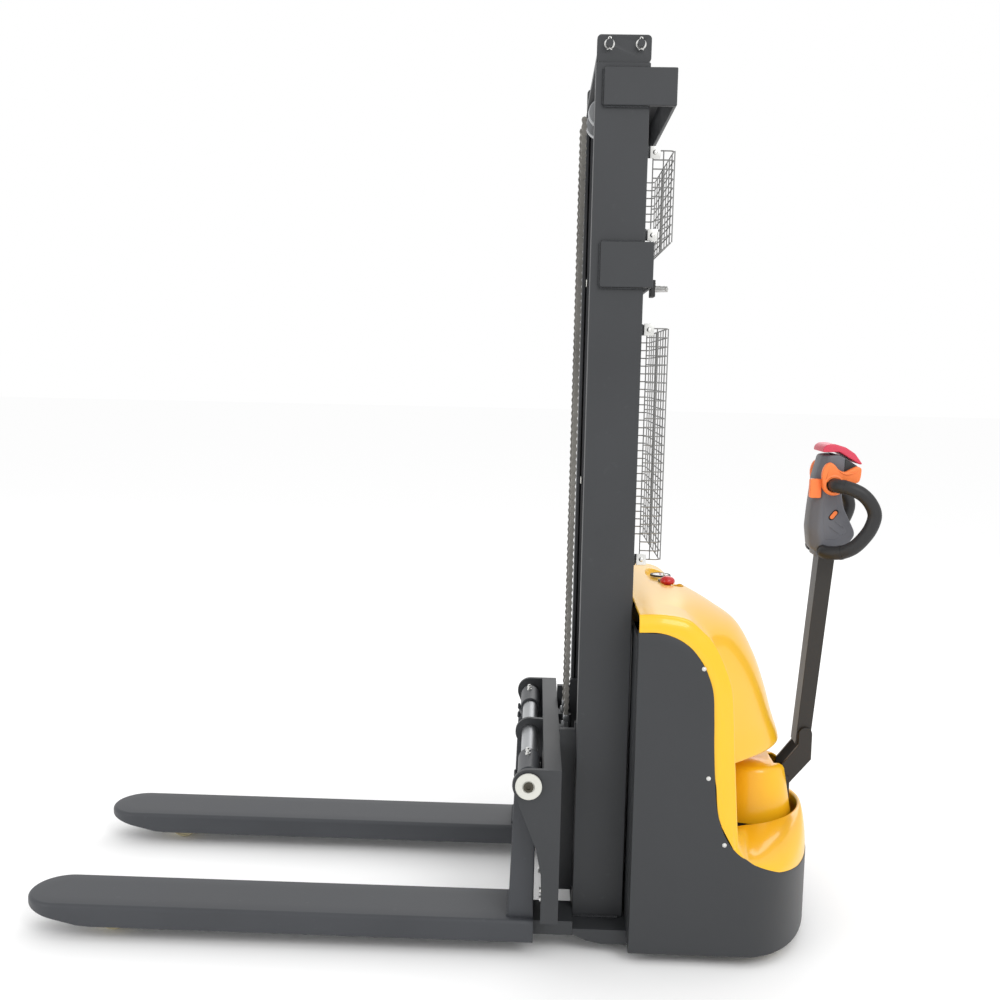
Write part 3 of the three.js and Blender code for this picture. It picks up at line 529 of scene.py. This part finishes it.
for level in ("lower", "upper"):
    for name, _ in SIDES:
        softened(f"carriage_roller_{level}_{name}", turned_steel, 1.2)

# ---------------------------------------------------------------- mast
for name, _ in SIDES:
    softened(f"outer_channel_{name}", charcoal, 2.5)
    softened(f"mast_roller_{name}", turned_steel, 1.5)
    softened(f"chain_sheave_{name}", turned_steel, 1.5)
softened("upper_cross_member", charcoal, 2.5)
softened("lower_cross_member", charcoal, 2.5)
softened("inner_mast", charcoal, 1.8)
softened("lift_cylinder", charcoal, 1.5)
softened("piston_rod", bar_steel, 1.0)

welds = []
for _, side in SIDES:
    wall = side * 251.2
    for x, z0, z1 in ((104.5, 1843, 1915), (107.5, 1468, 1558)):
        welds.append(bead([(x, wall, z0), (x, wall, z1)], 3.4, z0))
    for z in (1839.5, 1918.5):
        welds.append(bead([(107, wall, z), (200, wall, z)], 3.0, z))
    for z in (1464.5, 1561.5):
        welds.append(bead([(110, wall, z), (200, wall, z)], 3.0, z))
for _, side in SIDES:
    welds.append(bead([(90, side * 252.5, 59), (190, side * 252.5, 59)], 3.6, 7))
piece("cross_member_welds", welds, "chassis", charcoal)


PIN_Z = 1968.0


def make_pins():
    """Each sheave pin end: a bright washer, a domed nut and a split pin bent round both ways."""
    bright = []
    for side, x in ((side, x) for _, side in SIDES for x in (114.5, 180.5)):
        base = side * 240.2
        disc = [(0, base), (11, base), (11, base + side * 2), (0, base + side * 2)]
        nut = [(0, base), (7.0, base), (7.0, base + side * 11), (5.6, base + side * 12.8),
               (0, base + side * 12.8)]
        bright.append(turned(disc, (x, PIN_Z), "y", 28))
        bright.append(turned(nut, (x, PIN_Z), "y", 24))
        y = base + side * 6.5
        for bend in (-1, 1):
            leg = curve_through([(x, y, PIN_Z - 8.5), (x + bend * 1.6, y, PIN_Z - 11),
                                 (x + bend * 5.5, y, PIN_Z - 13)], 8)
            bright.append(tube(leg, 1.1, 8))
        loop = curve_through([(x - 1.6, y, PIN_Z + 7), (x - 3, y, PIN_Z + 11), (x, y, PIN_Z + 13.5),
                              (x + 3, y, PIN_Z + 11), (x + 1.6, y, PIN_Z + 7)], 12)
        bright.append(tube(loop, 1.1, 8))
    return bright


piece("sheave_pins", make_pins(), "inner_mast", zinc, (), 30)

hose_guides = []
for _, side in SIDES:
    hose_guides.append(block(98, 104, *span(side, 200, 226), 1000, 1018, 1))
    hose_guides.append(block(98, 104, *span(side, 200, 226), 1500, 1518, 1))
piece("mast_wear_pads", hose_guides, "inner_mast", white_plastic, (), 30)


# ---------------------------------------------------------------- leaf chains
PITCH = 15.875
CHAIN = {"x": 73.0, "lean": 4.0, "bottom": 471.0, "top": 1865.0, "half": 7.4}


def link_outline():
    """A chain plate's side: two half circles about pins one pitch apart, drawn in to a waist."""
    turn = np.linspace(0, math.pi, 5)
    r = 6.6
    top = np.stack([r * np.cos(turn), PITCH / 2 + r * np.sin(turn)], axis=1)
    return np.vstack([top, [[-4.1, 0]], top * -1, [[4.1, 0]]])


def make_chain(name, side):
    """Plates in alternate rows on pins, one pitch apart all the way up the fall. One plate's and
    one pin's points are worked out once, and added to every place's centre."""
    count = int((CHAIN["top"] - CHAIN["bottom"]) / PITCH)
    middle = side * 62.0
    base_plate = plate(link_outline(), "y", -0.85, 0.85, 0.25, 1)
    base_pin = turned([(2.6, -7.4), (2.6, 7.4)], (0, 0), "y", 8)
    skins = []
    for i in range(count):
        z = CHAIN["bottom"] + (i + 0.5) * PITCH
        rows = (-5.6, -1.9, 1.9, 5.6) if i % 2 else (-3.75, 0.0, 3.75)
        x = CHAIN["x"] - CHAIN["lean"] * (1 - i / count)
        for across in rows:
            skins.append((base_plate[0] + [x, middle + across, z], base_plate[1]))
        skins.append((base_pin[0] + [x, middle, z - PITCH / 2], base_pin[1]))
    chain = piece(f"leaf_chain_{name}", skins, "inner_mast", chain_steel,
                  (f"lift_chain_{name}",), 30)
    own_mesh(chain)


for name, side in SIDES:
    make_chain(name, side)

anchors = []
foot = CHAIN["x"] - CHAIN["lean"]
for _, side in SIDES:
    y = side * 62.0
    anchors.append(turned([(0, 440), (11, 440), (11, 447), (0, 447)], (foot, y), "z", 6))
    anchors.append(turned([(0, 447), (11, 447), (11, 453), (0, 453)], (foot, y), "z", 6))
    anchors.append(block(foot - 7, foot + 7, y - 8, y + 8, 455, 469.8, 1))
piece("chain_anchors", anchors, "carriage", turned_steel, (), 30)

# ---------------------------------------------------------------- body shell
BODY = {"front": 208.0, "half": 356.0, "bottom": 26.0, "round": 456.0, "rear": 650.0}
SHELL_EDGE = [(208, 738), (240, 737.5), (269, 735), (316, 711), (345, 675), (368, 622), (374, 557),
              (376, 502), (381, 425), (388, 359), (402, 310), (429, 266), (473, 234)]
REAR_EDGE = [(473, 234), (535, 207), (590, 194), (632, 189), (650, 186)]


def shell_edge_height(x):
    """The height of the shell's top edge behind the S curve, between the listed points."""
    edge = np.array(SHELL_EDGE[8:] + REAR_EDGE[1:], float)
    return np.interp(x, edge[:, 0], edge[:, 1])


def shell_half(side):
    """Columns run along the S edge, then round the back ellipse to the centre; each is upright,
    from a bottom lip to its own height, with its last few points rolled inwards along the edge."""
    flank = evenly(curve_through(SHELL_EDGE, 200), 90)
    flank = flank[flank[:, 0] < 455]
    turn = np.linspace(0, math.pi / 2, 50)
    back_x = BODY["round"] + (BODY["rear"] - BODY["round"]) * np.sin(turn)
    back_y = BODY["half"] * np.cos(turn)
    x = np.concatenate([[208, 208, 208, 209], flank[4:, 0], back_x])
    y = np.concatenate([[332, 346, 353, 355.4], np.full(len(flank) - 4, BODY["half"]), back_y])
    back_top = np.interp(back_x, *np.array(SHELL_EDGE[-3:] + REAR_EDGE[1:]).T)
    top = np.concatenate([[738] * 4, flank[4:, 1], back_top])
    y[-1] = 0.5
    rise = np.concatenate([[0, 0.004, 0.012], np.linspace(0.03, 1, 22)])
    roll_in = np.concatenate([[3.0, 1.0, 0.0], np.zeros(22)])
    z = BODY["bottom"] + (top[None, :] - BODY["bottom"]) * rise[:, None]
    pull = roll_in[:, None] / BODY["half"]
    grid = np.stack([np.broadcast_to(x, z.shape), side * y[None, :] * (1 - pull), z], axis=-1)
    rolled = [grid[-1] + [0, -side * d, h] for d, h in ((0.5, 0.8), (1.6, 1.5), (3.0, 1.8))]
    grid = np.concatenate([grid, np.stack(rolled)], axis=0)
    if side > 0:
        grid = grid[:, ::-1]
    return skin(grid, wrap=False)


for name, side in SIDES:
    piece(f"shell_{name}", [shell_half(side)], "chassis", shell_grey,
          (f"body_shell_{name}",), 40, 0.0035)

screws = []
for _, side in SIDES:
    for x, z in ((348, 666), (367, 427), (407, 280)):
        face = side * BODY["half"]
        disc = [(0, face), (4.8, face), (4.8, face + side * 0.8), (0, face + side * 0.8)]
        screws.append(turned(disc, (x, z), "y", 20))
        screws.append(dome((x, z), "y", face + side * 0.6, 3.6, side * 2.6))
piece("shell_screws", screws, "chassis", zinc, (), 30)

# ---------------------------------------------------------------- hood
CREASE_Y = 345.0
RIDGE = [(209, 779), (262, 779), (325, 777), (379, 757), (425, 731), (472, 698), (516, 625), (544, 552),
         (567, 477), (584, 428), (585, 416), (578, 411), (520, 410.5), (418, 409), (415, 404), (414, 340),
         (414, 238)]
CREASE = [(209, 776), (262, 777), (315, 767), (344, 744), (370, 717), (393, 674), (412, 620), (419, 555),
          (424, 473), (427.4, 428), (428, 416), (428.4, 411), (428.8, 408), (429.2, 405), (429.6, 400),
          (434, 340), (441, 262)]
BAND_EDGE = [(209, 740), (255, 739.5), (296, 726), (322, 706), (347, 675), (366, 629), (372, 580),
             (375, 530), (377, 480), (380, 440), (381, 428), (382, 422), (383, 416), (384, 412), (385, 405),
             (394, 336), (428, 268)]
NOSE = 0.66
TRAY = {"x": 312.0, "y": 132.0, "half_x": 41.0, "half_y": 133.0, "depth": 14.5}


def bulge(share):
    """How much of the bulge is left at a share of the half width: one less the square of the share
    over the nose's, to a power a little over one."""
    return np.maximum(0, 1 - (np.abs(share) / NOSE)**2)**1.15


def make_hood():
    """Across, a point lies between the crease and the ridge by the bulge's weight at its share of
    the half width. Past the crease it rolls over an edge and runs straight to the band's lower
    edge. Along, it follows the crease and the ridge, under the nose and down the niche wall. The
    flat top sinks into an oval tray where a superellipse of X and Y is under one."""
    rows = 330
    ridge, crease, band = (curve_through(line, rows) for line in (RIDGE, CREASE, BAND_EDGE))
    across = np.linspace(-0.984, 0.984, 171)
    weight = bulge(across)[None, :]
    x = crease[:, :1] + (ridge[:, :1] - crease[:, :1]) * weight
    z = crease[:, 1:] + (ridge[:, 1:] - crease[:, 1:]) * weight
    y = np.broadcast_to(across * CREASE_Y, x.shape)
    reach = (np.abs(x - TRAY["x"]) / TRAY["half_x"])**3.2 + (np.abs(y - TRAY["y"]) / TRAY["half_y"])**3.2
    sink = np.clip((1.12 - reach) / 0.3, 0, 1)
    z = z - np.where(z > 740, TRAY["depth"] * sink * sink * (3 - 2 * sink), 0)
    middle = np.stack([x, y, z], axis=-1)
    ahead = np.gradient(crease, axis=0)
    ahead /= np.maximum(np.linalg.norm(ahead, axis=1), 1e-6)[:, None]
    inward = np.stack([ahead[:, 1], -ahead[:, 0]], axis=1)
    radius = 6.0
    flank = []
    for turn in np.linspace(0.2, math.pi / 2, 6):
        drop = radius * (1 - math.cos(turn))
        flat = crease + inward * drop
        flank.append((flat, CREASE_Y - radius + radius * math.sin(turn)))
    start = crease + inward * radius
    for share in np.linspace(0.12, 1, 14):
        puff = 3.0 * math.sin(math.pi * share)
        flank.append((start + (band - start) * share, CREASE_Y + 8.6 * share + puff))
    right = np.stack([np.stack([f[:, 0], np.full(rows, w), f[:, 1]], axis=-1) for f, w in flank], axis=1)
    lip = right[:, -1] + [0, -4.0, 0]
    right = np.concatenate([right, lip[:, None]], axis=1)
    left = right[:, ::-1] * [1, -1, 1]
    return skin(np.concatenate([left, middle, right], axis=1), wrap=False)


piece("hood_moulding", [make_hood()], "chassis", yellow, ("hood",), 42, 0.003)

# ---------------------------------------------------------------- collar and turret
RIM = {"x": 492.0, "radius": 153.0, "front": 73.0, "low": 230.0, "climb": 30.0}


def make_collar():
    """Round the turret by angle. From the outer edge on the shell the skin rises as the sine of a
    quarter turn while it moves in as one less the cosine, then rolls over a small lip and comes
    back underneath, so that the ring closes on itself. In front the rim and the outer edge are fuller
    curves, where the fourth or sixth powers of both shares add up to one, and the skin swells by the
    sine of twice the turn against the hood's bands."""
    turn = np.linspace(0, 2 * math.pi, 181)[:-1]
    c, s = np.cos(turn), np.sin(turn)
    outer_x = BODY["round"] + np.where(c > 0, BODY["rear"] - BODY["round"] - 1.5, 48) * c
    outer_y = (BODY["half"] - 1.5) * np.where(c > 0, s, np.sign(s) * np.maximum(1 - c**6, 0)**(1 / 6))
    rim_x = RIM["x"] + np.where(c > 0, RIM["radius"], RIM["front"]) * c
    rim_y = RIM["radius"] * np.where(c > 0, s, np.sign(s) * np.maximum(1 - c**4, 0)**0.25)
    fade = np.clip((1 + c) / 0.35, 0, 1)
    swell = 42 * np.clip(-c / 0.5, 0, 1) * fade
    edge = np.where(c > 0, shell_edge_height(outer_x) - 1, 225 + (shell_edge_height(outer_x) - 226) * fade)
    height = RIM["low"] + RIM["climb"] * (c + 1) / 2

    def slope(t, wall, drop):
        across, rise = 1 - math.cos(t), math.sin(t)**0.9
        return (outer_x + (rim_x - outer_x) * across - c * wall,
                outer_y + (rim_y - outer_y) * across - s * wall,
                edge + (height - edge) * rise - drop + swell * math.sin(2 * t))

    columns = [slope(t, 0, 0) for t in np.linspace(0, math.pi / 2, 16)]
    for d, h in ((3, -0.6), (5.5, -2.6), (7, -6), (7, -20), (2, -20)):
        columns.append((rim_x - c * d, rim_y - s * d, height + h))
    columns += [slope(t, 2, 6) for t in np.linspace(math.pi / 2 * 0.93, 0.12, 12)]
    grid = np.stack([np.stack(column, axis=-1) for column in columns], axis=0)
    return skin(np.concatenate([grid, grid[:1]], axis=0), caps=False)


piece("collar_moulding", [make_collar()], "chassis", yellow, ("rear_collar",), 50)
softened("turret_cover", yellow, 2.2, 42)
softened("drive_head", charcoal, 1.2)


STOP = (310.0, 30.0)
KEY = (314.0, 130.0)
GAUGE = (312.0, 205.0)
mushroom = curve_through([(9, 776), (15.5, 777.5), (18, 781.5), (17, 787.5), (12, 792.5), (5, 795.4),
                          (0, 796)], 24)
stop = [turned(np.vstack([[(0, 768.8)], [(9, 768.8)], mushroom]), STOP, "z", 40)]
piece("stop_button", stop, "emergency_stop", red_plastic, ("emergency_stop",), 35)
bezel = [washer([(10.5, 764.6), (21, 764.6), (20, 767.5), (13, 768), (10.5, 768)], STOP, "z", 40)]
piece("stop_bezel", bezel, "chassis", black_plastic, (), 35)

key = [turned([(0, 768.4), (9, 768.4), (9, 772), (8, 773.2), (0, 773.2)], KEY, "z", 28),
       plate(rounded([(118, 773.4), (142, 773.4), (143, 783), (117, 783)], 4), "x", 312.2, 315.8, 1)]
piece("ignition_key", key, body_of_node("key_switch"), turned_steel, ("key_switch",), 35)

gauge = [turned([(0, 764.8), (27, 764.8), (26, 769), (22, 769.5), (21, 768), (0, 768)], GAUGE, "z", 40),
         turned([(0, 764.8), (16, 764.8), (15.5, 767.6), (11, 768), (0, 768)], KEY, "z", 32)]
piece("charge_gauge", gauge, "chassis", black_plastic, (), 35)
dial = [turned([(0, 768.1), (20.6, 768.1), (20.6, 768.5), (0, 768.5)], GAUGE, "z", 32)]
piece("gauge_dial", dial, "chassis", white_plastic, (), 35)
needle = [block(311.4, 312.6, 205, 221, 768.6, 769.2, 0.2),
          turned([(0, 768.6), (3, 768.6), (2.6, 770), (0, 770)], GAUGE)]
piece("gauge_needle", needle, "chassis", red_plastic, (), 35)

# ---------------------------------------------------------------- mesh guards
GUARD = {"front": 217.0, "rear": 262.0, "y": 205.0, "wire": 1.6, "bend": 10.0}


def hoop(z, drop=0.0):
    """A wire round three sides of the guard: forward, across and back, with round bends. A drop
    lowers its front ends along a slant."""
    g = GUARD
    bends = np.linspace(0, math.pi / 2, 5)
    left = np.stack([g["rear"] - g["bend"] + g["bend"] * np.sin(bends),
                     -g["y"] + g["bend"] - g["bend"] * np.cos(bends)], axis=1)
    plan = np.vstack([[[g["front"], -g["y"]]], left, left[::-1] * [1, -1], [[g["front"], g["y"]]]])
    fall = drop * (g["rear"] - plan[:, 0]) / (g["rear"] - g["front"])
    return tube(np.column_stack([plan, z - fall]), g["wire"], 6)


def make_guard(bottom, top, step, slant=0.0):
    """Hoops at an even step, the lowest few dropped at the front by the slant, nine uprights
    across the back and two along each side, at the front and halfway back."""
    g = GUARD
    skins = []
    count = int(round((top - bottom) / step))
    for i in range(count + 1):
        z = bottom + (top - bottom) * i / count
        drop = slant * max(0.0, 1 - i / 5)
        skins.append(hoop(z, drop))
    for y in np.linspace(-g["y"], g["y"], 9):
        skins.append(tube([(g["rear"] + 1.4, y, bottom), (g["rear"] + 1.4, y, top)], g["wire"] * 0.9, 6))
    for _, side in SIDES:
        for x in (g["front"], (g["front"] + g["rear"]) / 2):
            low = bottom - slant * (g["rear"] - x) / (g["rear"] - g["front"])
            y = side * (g["y"] + 1.4)
            skins.append(tube([(x, y, low), (x, y, top)], g["wire"] * 0.9, 6))
    return skins


for level, wires in (("lower", make_guard(873, 1382, 19.6)), ("upper", make_guard(1567, 1759, 19.2, 40))):
    piece(f"guard_wires_{level}", wires, "chassis", wire_steel, (f"mesh_guard_{level}",), 40)


def make_guard_brackets():
    """An angle bracket from the channel to each guard corner, and a clamp plate with its bolt."""
    brackets, clamps = [], []
    for _, side in SIDES:
        for z in (862, 1368, 1570, 1744):
            brackets.append(block(203, 226, *span(side, 198, 202), z, z + 22, 1))
            brackets.append(block(203, 207, *span(side, 198, 224), z, z + 22, 1))
            clamps.append(block(210, 232, *span(side, 207.4, 209.6), z - 2, z + 24, 0.8))
            clamps.append(dome((221, z + 11), "y", side * 209.4, 5.2, side * 3.4))
    return brackets, clamps


guard_brackets, guard_clamps = make_guard_brackets()
piece("guard_brackets", guard_brackets, "chassis", charcoal, (), 30)
piece("guard_clamps", guard_clamps, "chassis", zinc, (), 30)


FEELER = (-190.0, 1468.0)


def whisker():
    """The limit switch's feeler: a close coiled spring, a helix about the X axis that narrows
    towards its tip, with a round knob."""
    n = np.linspace(0, 1, 260)
    angle = n * 2 * math.pi * 13
    radius = 7.0 - 1.2 * n
    x = 229 + 31 * n
    helix = np.stack([x, FEELER[0] + radius * np.cos(angle), FEELER[1] + radius * np.sin(angle)], axis=1)
    ahead = np.gradient(helix, axis=0)
    ahead /= np.linalg.norm(ahead, axis=1)[:, None]
    out = np.stack([np.zeros_like(n), np.cos(angle), np.sin(angle)], axis=1)
    over = np.cross(ahead, out)
    turn = np.linspace(0, 2 * math.pi, 6, endpoint=False)
    ring = np.cos(turn)[None, :, None] * out[:, None] + np.sin(turn)[None, :, None] * over[:, None]
    coil = skin(helix[:, None] + 0.9 * ring)
    return [coil, tube([(228.5, *FEELER), (260, *FEELER)], 1.8, 10), dome(FEELER, "x", 256, 5.2, 6)]


piece("switch_whisker", whisker(), "switch_lever", zinc, ("switch_lever",), 40)
softened("limit_switch", black_plastic, 1.5)
switch_cover = [screw_head((y, 1480), "x", 231.4, 2.4, 1.6) for y in (-206, -174)]
piece("switch_screws", switch_cover, "chassis", zinc, (), 30)

# ---------------------------------------------------------------- legs, chassis and wheels
for name, side in SIDES:
    softened(f"leg_{name}", charcoal, 3.0)
softened("chassis_frame", charcoal, 1.5)


def wheel(centre, y, half, radius, bore, crown, sides=56):
    """A tread turned about the axle: a slightly crowned face with round shoulders and a hub that
    steps in on both sides."""
    side_profile = [(bore, -half), (bore * 1.6, -half), (radius * 0.55, -half + 3), (radius * 0.8, -half + 3),
                    (radius - 5, -half), (radius - 1.8, -half + 1.6), (radius - crown, -half + 4.5)]
    profile = side_profile + [(radius, 0)] + [(r, -h) for r, h in side_profile[::-1]]
    return washer([(r, y + h) for r, h in profile], centre, "y", sides)


def wheel_from(node, name, finish_used, bore, crown):
    """A wheel of the size and in the place of a CAD wheel: the middle and the halves of its box."""
    low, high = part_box(node)
    x = (low.x + high.x) / 2 / MM - HEEL / MM
    y, z = (low.y + high.y) / 2 / MM, (low.z + high.z) / 2 / MM
    half, radius = (high.y - low.y) / 2 / MM, (high.x - low.x) / 2 / MM
    tread = wheel((x, z), y, half, radius, bore, crown)
    piece(name, [tread], body_of_node(node), finish_used, (node,), 32)


for name, _ in SIDES:
    wheel_from(f"load_wheel_{name}", f"load_tread_{name}", urethane, 8.5, 0.3)
    wheel_from(f"caster_wheel_{name}", f"caster_tread_{name}", urethane, 6.5, 0.8)
    softened(f"caster_fork_{name}", zinc, 1.2)
wheel_from("drive_wheel", "drive_tread", tyre, 14.5, 1.0)

# ---------------------------------------------------------------- tiller
softened("tiller_arm", arm_black, 2.5)
HEAD = [(648, 873), (700, 873), (716, 885), (735, 915), (734, 927), (707, 980), (700, 1012), (722, 1040),
        (737, 1066), (737, 1078), (692, 1106), (654, 1103), (641, 1050), (634, 975), (631, 930), (637, 884)]


def make_head():
    """The head's side outline at stations across. Near each side it is inset by an edge times one
    less the sine of a quarter turn, and past the flat front it moves back in proportion, most at
    the front. A raised cheek panel on each side follows the outline a little way in."""
    outline = rounded(HEAD, 7)
    turn = np.linspace(0, math.pi / 2, 6)
    reach = np.concatenate([[22, 26, 33], 45.2 - 5 * (1 - np.cos(turn[::-1]))])
    drawn_in = np.concatenate([[0, 0, 0], 5 * (1 - np.sin(turn[::-1]))])
    rings = []
    for y, step in zip(np.concatenate([-reach[::-1], reach]), np.concatenate([drawn_in[::-1], drawn_in])):
        flat = inset(outline, step)
        back = 19 * np.clip((abs(y) - 24) / 21, 0, 1) * np.clip((690 - flat[:, 0]) / 50, 0, 1)
        rings.append(np.column_stack([flat[:, 0] + back, np.full(len(flat), y), flat[:, 1]]))
    skins = [skin(np.stack(rings))]
    cheek = rounded([(664, 905), (692, 905), (716, 925), (692, 985), (690, 1012), (674, 1014), (670, 1056),
                     (663, 1056), (660, 960)], 5)
    for _, side in SIDES:
        skins.append(plate(cheek, "y", side * 43, side * 46.0, 1.6, 3))
        for k in range(2):
            base = np.array([(694 - 11 * k, 955 - 14 * k), (716 - 11 * k, 940 - 14 * k)]) - [8, 6]
            groove = [(a, side * 46.2, b) for a, b in base]
            skins.append(tube(evenly(groove, 8), 1.1, 8))
    skins.append(block(648, 702, -30, 30, 862, 880, 5))
    return skins


piece("head_moulding", make_head(), "tiller", head_plastic, ("tiller_head",), 38)

trims = []
for _, side in SIDES:
    corner = rounded([(702, 1046), (735, 1065), (735, 1077), (703, 1097)], 3)
    trims.append(plate(corner, "y", side * 40, side * 46.4, 1.2, 3))
trims.append(plate(rounded([(700, 1048), (737, 1066), (737, 1077.5), (700, 1101)], 3), "y", -40, 40, 2, 3))
piece("head_rear_trim", trims, "tiller", black_plastic, (), 35)


def make_pad():
    """The safety pad: its side outline carried across with broad round rims, and crowned across so
    that its middle stands a little higher."""
    outline = rounded([(651, 1110.5), (690, 1112), (738, 1083.5), (744, 1085), (726, 1109), (704, 1123),
                       (680, 1130), (661, 1129), (652, 1121)], 4, 4)
    points, faces = plate(outline, "y", -47, 47, 2.6, 4)
    crown = 1 - (points[:, 1] / 47)**2
    points[:, 2] += np.where(points[:, 2] > 1118, 1.2 * crown, 0)
    return points, faces


piece("pad_moulding", [make_pad()], "safety_pad", crimson, ("safety_pad",), 40)

GRIP = (676.0, 1037.0)


def make_grip(side):
    """A round rubber sleeve on a loop from the head's top, out, back and round to its foot, a touch
    thicker in the middle than where it meets the head."""
    path = [(676, 46.5, 1037), (676, 70, 1037), (680, 92, 1036), (700, 105, 1033), (729, 110, 1020),
            (750, 110, 998), (759.8, 110, 973), (753, 110, 944), (737, 109, 918), (716, 104, 895),
            (694, 90, 882), (672, 74, 878), (662, 62, 878), (662, 46.5, 878)]
    line = evenly(curve_through(np.array(path) * [1, side, 1], 200), 90)
    n = np.linspace(0, 1, 90)
    radius = 15.0 + 1.0 * np.clip(np.sin(n * math.pi) * 3, 0, 1)
    skins = [tube(line, radius, 24)]
    for at in (0.17, 0.84):
        k = int(at * 89)
        skins.append(tube(line[k - 1:k + 2], np.array([16.8, 17.0, 16.8]), 24))
    return skins


for name, side in SIDES:
    piece(f"grip_sleeve_{name}", make_grip(side), "tiller", rubber, (f"grip_{name}",), 40)


def make_throttle(side):
    """A butterfly lever: a cupped hub turned round the grip tube and a waved wing whose thickness
    falls off towards its rim."""
    inner, outer = side * 47.4, side * 66.0
    hub = [(16.6, inner), (24.5, inner), (26, inner + side * 2), (26, outer - side * 5),
           (23, outer - side * 1), (19, outer), (16.6, outer - side * 3)]
    wing = curve_through([(650, 1036), (648, 1064), (656, 1083), (667, 1088), (677, 1082), (686, 1072),
                          (700, 1067), (714, 1074), (728, 1080), (737, 1076), (738, 1064), (733, 1044),
                          (716, 1040), (700, 1042), (685, 1048), (668, 1044)], 90)
    rib = curve_through([(684, 1070), (700, 1062), (716, 1064), (730, 1070)], 20)
    ridge = np.column_stack([rib[:, 0], np.full(20, outer - side * 1.0), rib[:, 1]])
    return [washer(hub, GRIP, "y"), plate(wing, "y", inner + side * 1, outer - side * 1, 5, 5),
            tube(ridge, 2.2 * np.sin(np.linspace(0.3, 2.84, 20)), 10)]


for name, side in SIDES:
    piece(f"throttle_wing_{name}", make_throttle(side), "throttle", orange_plastic,
          (f"throttle_{name}",), 40)

lift = plate(rectangle(625.5, 652, 1003, 1048, 4), "y", -47.5, -30.6, 2.4, 4)
piece("lift_key", [lift], "lift_button", orange_plastic, ("lift_button",), 35)


def stadium(centre, long_half, radius, lean):
    """An oblong: two half circles at the ends of a line that leans by an angle."""
    turn = np.linspace(-math.pi / 2, math.pi / 2, 10)
    end = np.stack([long_half + radius * np.cos(turn), radius * np.sin(turn)], axis=1)
    flat = np.vstack([end, -end])
    c, s = math.cos(lean), math.sin(lean)
    return flat @ np.array([[c, s], [-s, c]]) + centre


LEAN = math.radians(52)
for node, side in (("creep_button", -1), ("horn_button", 1)):
    key = plate(stadium((683, 964), 6.4, 4.6, LEAN), "y", side * 44, side * 49, 1.4, 3)
    name = node.replace("_button", "_key")
    piece(name, [key], node, orange_plastic, (node,), 35)
# Painted shade: a thin near-black oblong just proud of the head, a little larger than each key, stands for
# its shaded well.
wells = [plate(stadium((683, 964), 8.0, 6.6, LEAN), "y", side * 45, side * 46.6, 0.4, 2) for _, side in SIDES]
piece("button_well_shade", wells, "tiller", recess_shade, (), 35)

# ---------------------------------------------------------------- CAD pieces that keep their shape
KEPT = {"battery": (black_plastic, "black_plastic"), "oil_tank": (turned_steel, "machined_steel"),
        "pump_motor": (black_plastic, "black_plastic"), "motor_controller": (black_plastic, "black_plastic"),
        "drive_motor": (black_plastic, "black_plastic")}
for node, (material, _) in KEPT.items():
    shape = frame["nodes"][node].data
    shape.materials.clear()
    shape.materials.append(material)

# ---------------------------------------------------------------- floor, light and camera
def make_floor():
    """A flat square under the truck, matt and nearly white."""
    mesh = bpy.data.meshes.new("floor")
    reach = 40.0
    corners = [(-reach, -reach, 0), (reach, -reach, 0), (reach, reach, 0), (-reach, reach, 0)]
    mesh.from_pydata(corners, [], [(0, 1, 2, 3)])
    floor = bpy.data.objects.new("floor", mesh)
    bpy.context.scene.collection.objects.link(floor)
    pale = bpy.data.materials.new("pale_floor")
    pale.use_nodes = True
    surface = pale.node_tree.nodes["Principled BSDF"]
    surface.inputs["Base Color"].default_value = (0.98, 0.98, 0.98, 1)
    surface.inputs["Roughness"].default_value = 1.0
    surface.inputs["Specular IOR Level"].default_value = 0.0
    mesh.materials.append(pale)
    floor.location.z = -0.0005


def lamp(name, place, aim, size, power):
    """A round soft light at a place, turned to its aim."""
    light = bpy.data.lights.new(name, "AREA")
    light.shape = "DISK"
    light.size = size
    light.energy = power
    thing = bpy.data.objects.new(name, light)
    bpy.context.scene.collection.objects.link(thing)
    thing.location = place
    thing.rotation_mode = "QUATERNION"
    thing.rotation_quaternion = (Vector(aim) - Vector(place)).to_track_quat("-Z", "Y")


make_floor()
lamp("key", (2.6, -4.2, 4.2), (0.2, 0, 0.8), 2.6, 95)
lamp("fill", (-4.5, -3.6, 2.4), (0, 0, 0.8), 3.2, 50)
lamp("back", (1.5, 4.6, 3.6), (0, 0, 0.9), 3.0, 45)
world = bpy.data.worlds.new("studio")
world.use_nodes = True
world.node_tree.nodes["Background"].inputs["Color"].default_value = (1, 1, 1, 1)
world.node_tree.nodes["Background"].inputs["Strength"].default_value = 1.0
bpy.context.scene.world = world
bpy.context.scene.view_settings.view_transform = "Standard"


def make_camera():
    """The camera's axes: ahead from its yaw and pitch, right level and square to it, and both right
    and up then rolled about ahead."""
    yaw, pitch, roll = -0.030, 0.111, -0.021
    ahead = Vector((math.sin(yaw) * math.cos(pitch), math.cos(yaw) * math.cos(pitch), -math.sin(pitch)))
    level = Vector((math.cos(yaw), -math.sin(yaw), 0))
    down = ahead.cross(level)
    right = math.cos(roll) * level + math.sin(roll) * down
    low = -math.sin(roll) * level + math.cos(roll) * down
    lens = bpy.data.cameras.new("camera")
    lens.sensor_width = 36.0
    lens.lens = 40.954
    lens.clip_start = 0.05
    thing = bpy.data.objects.new("camera", lens)
    bpy.context.scene.collection.objects.link(thing)
    place = Vector((HEEL - 0.0204, -2.7197, 1.2784))
    axes = Matrix((right, -low, -ahead)).transposed().to_4x4()
    thing.matrix_world = Matrix.Translation(place) @ axes
    bpy.context.scene.camera = thing


make_camera()
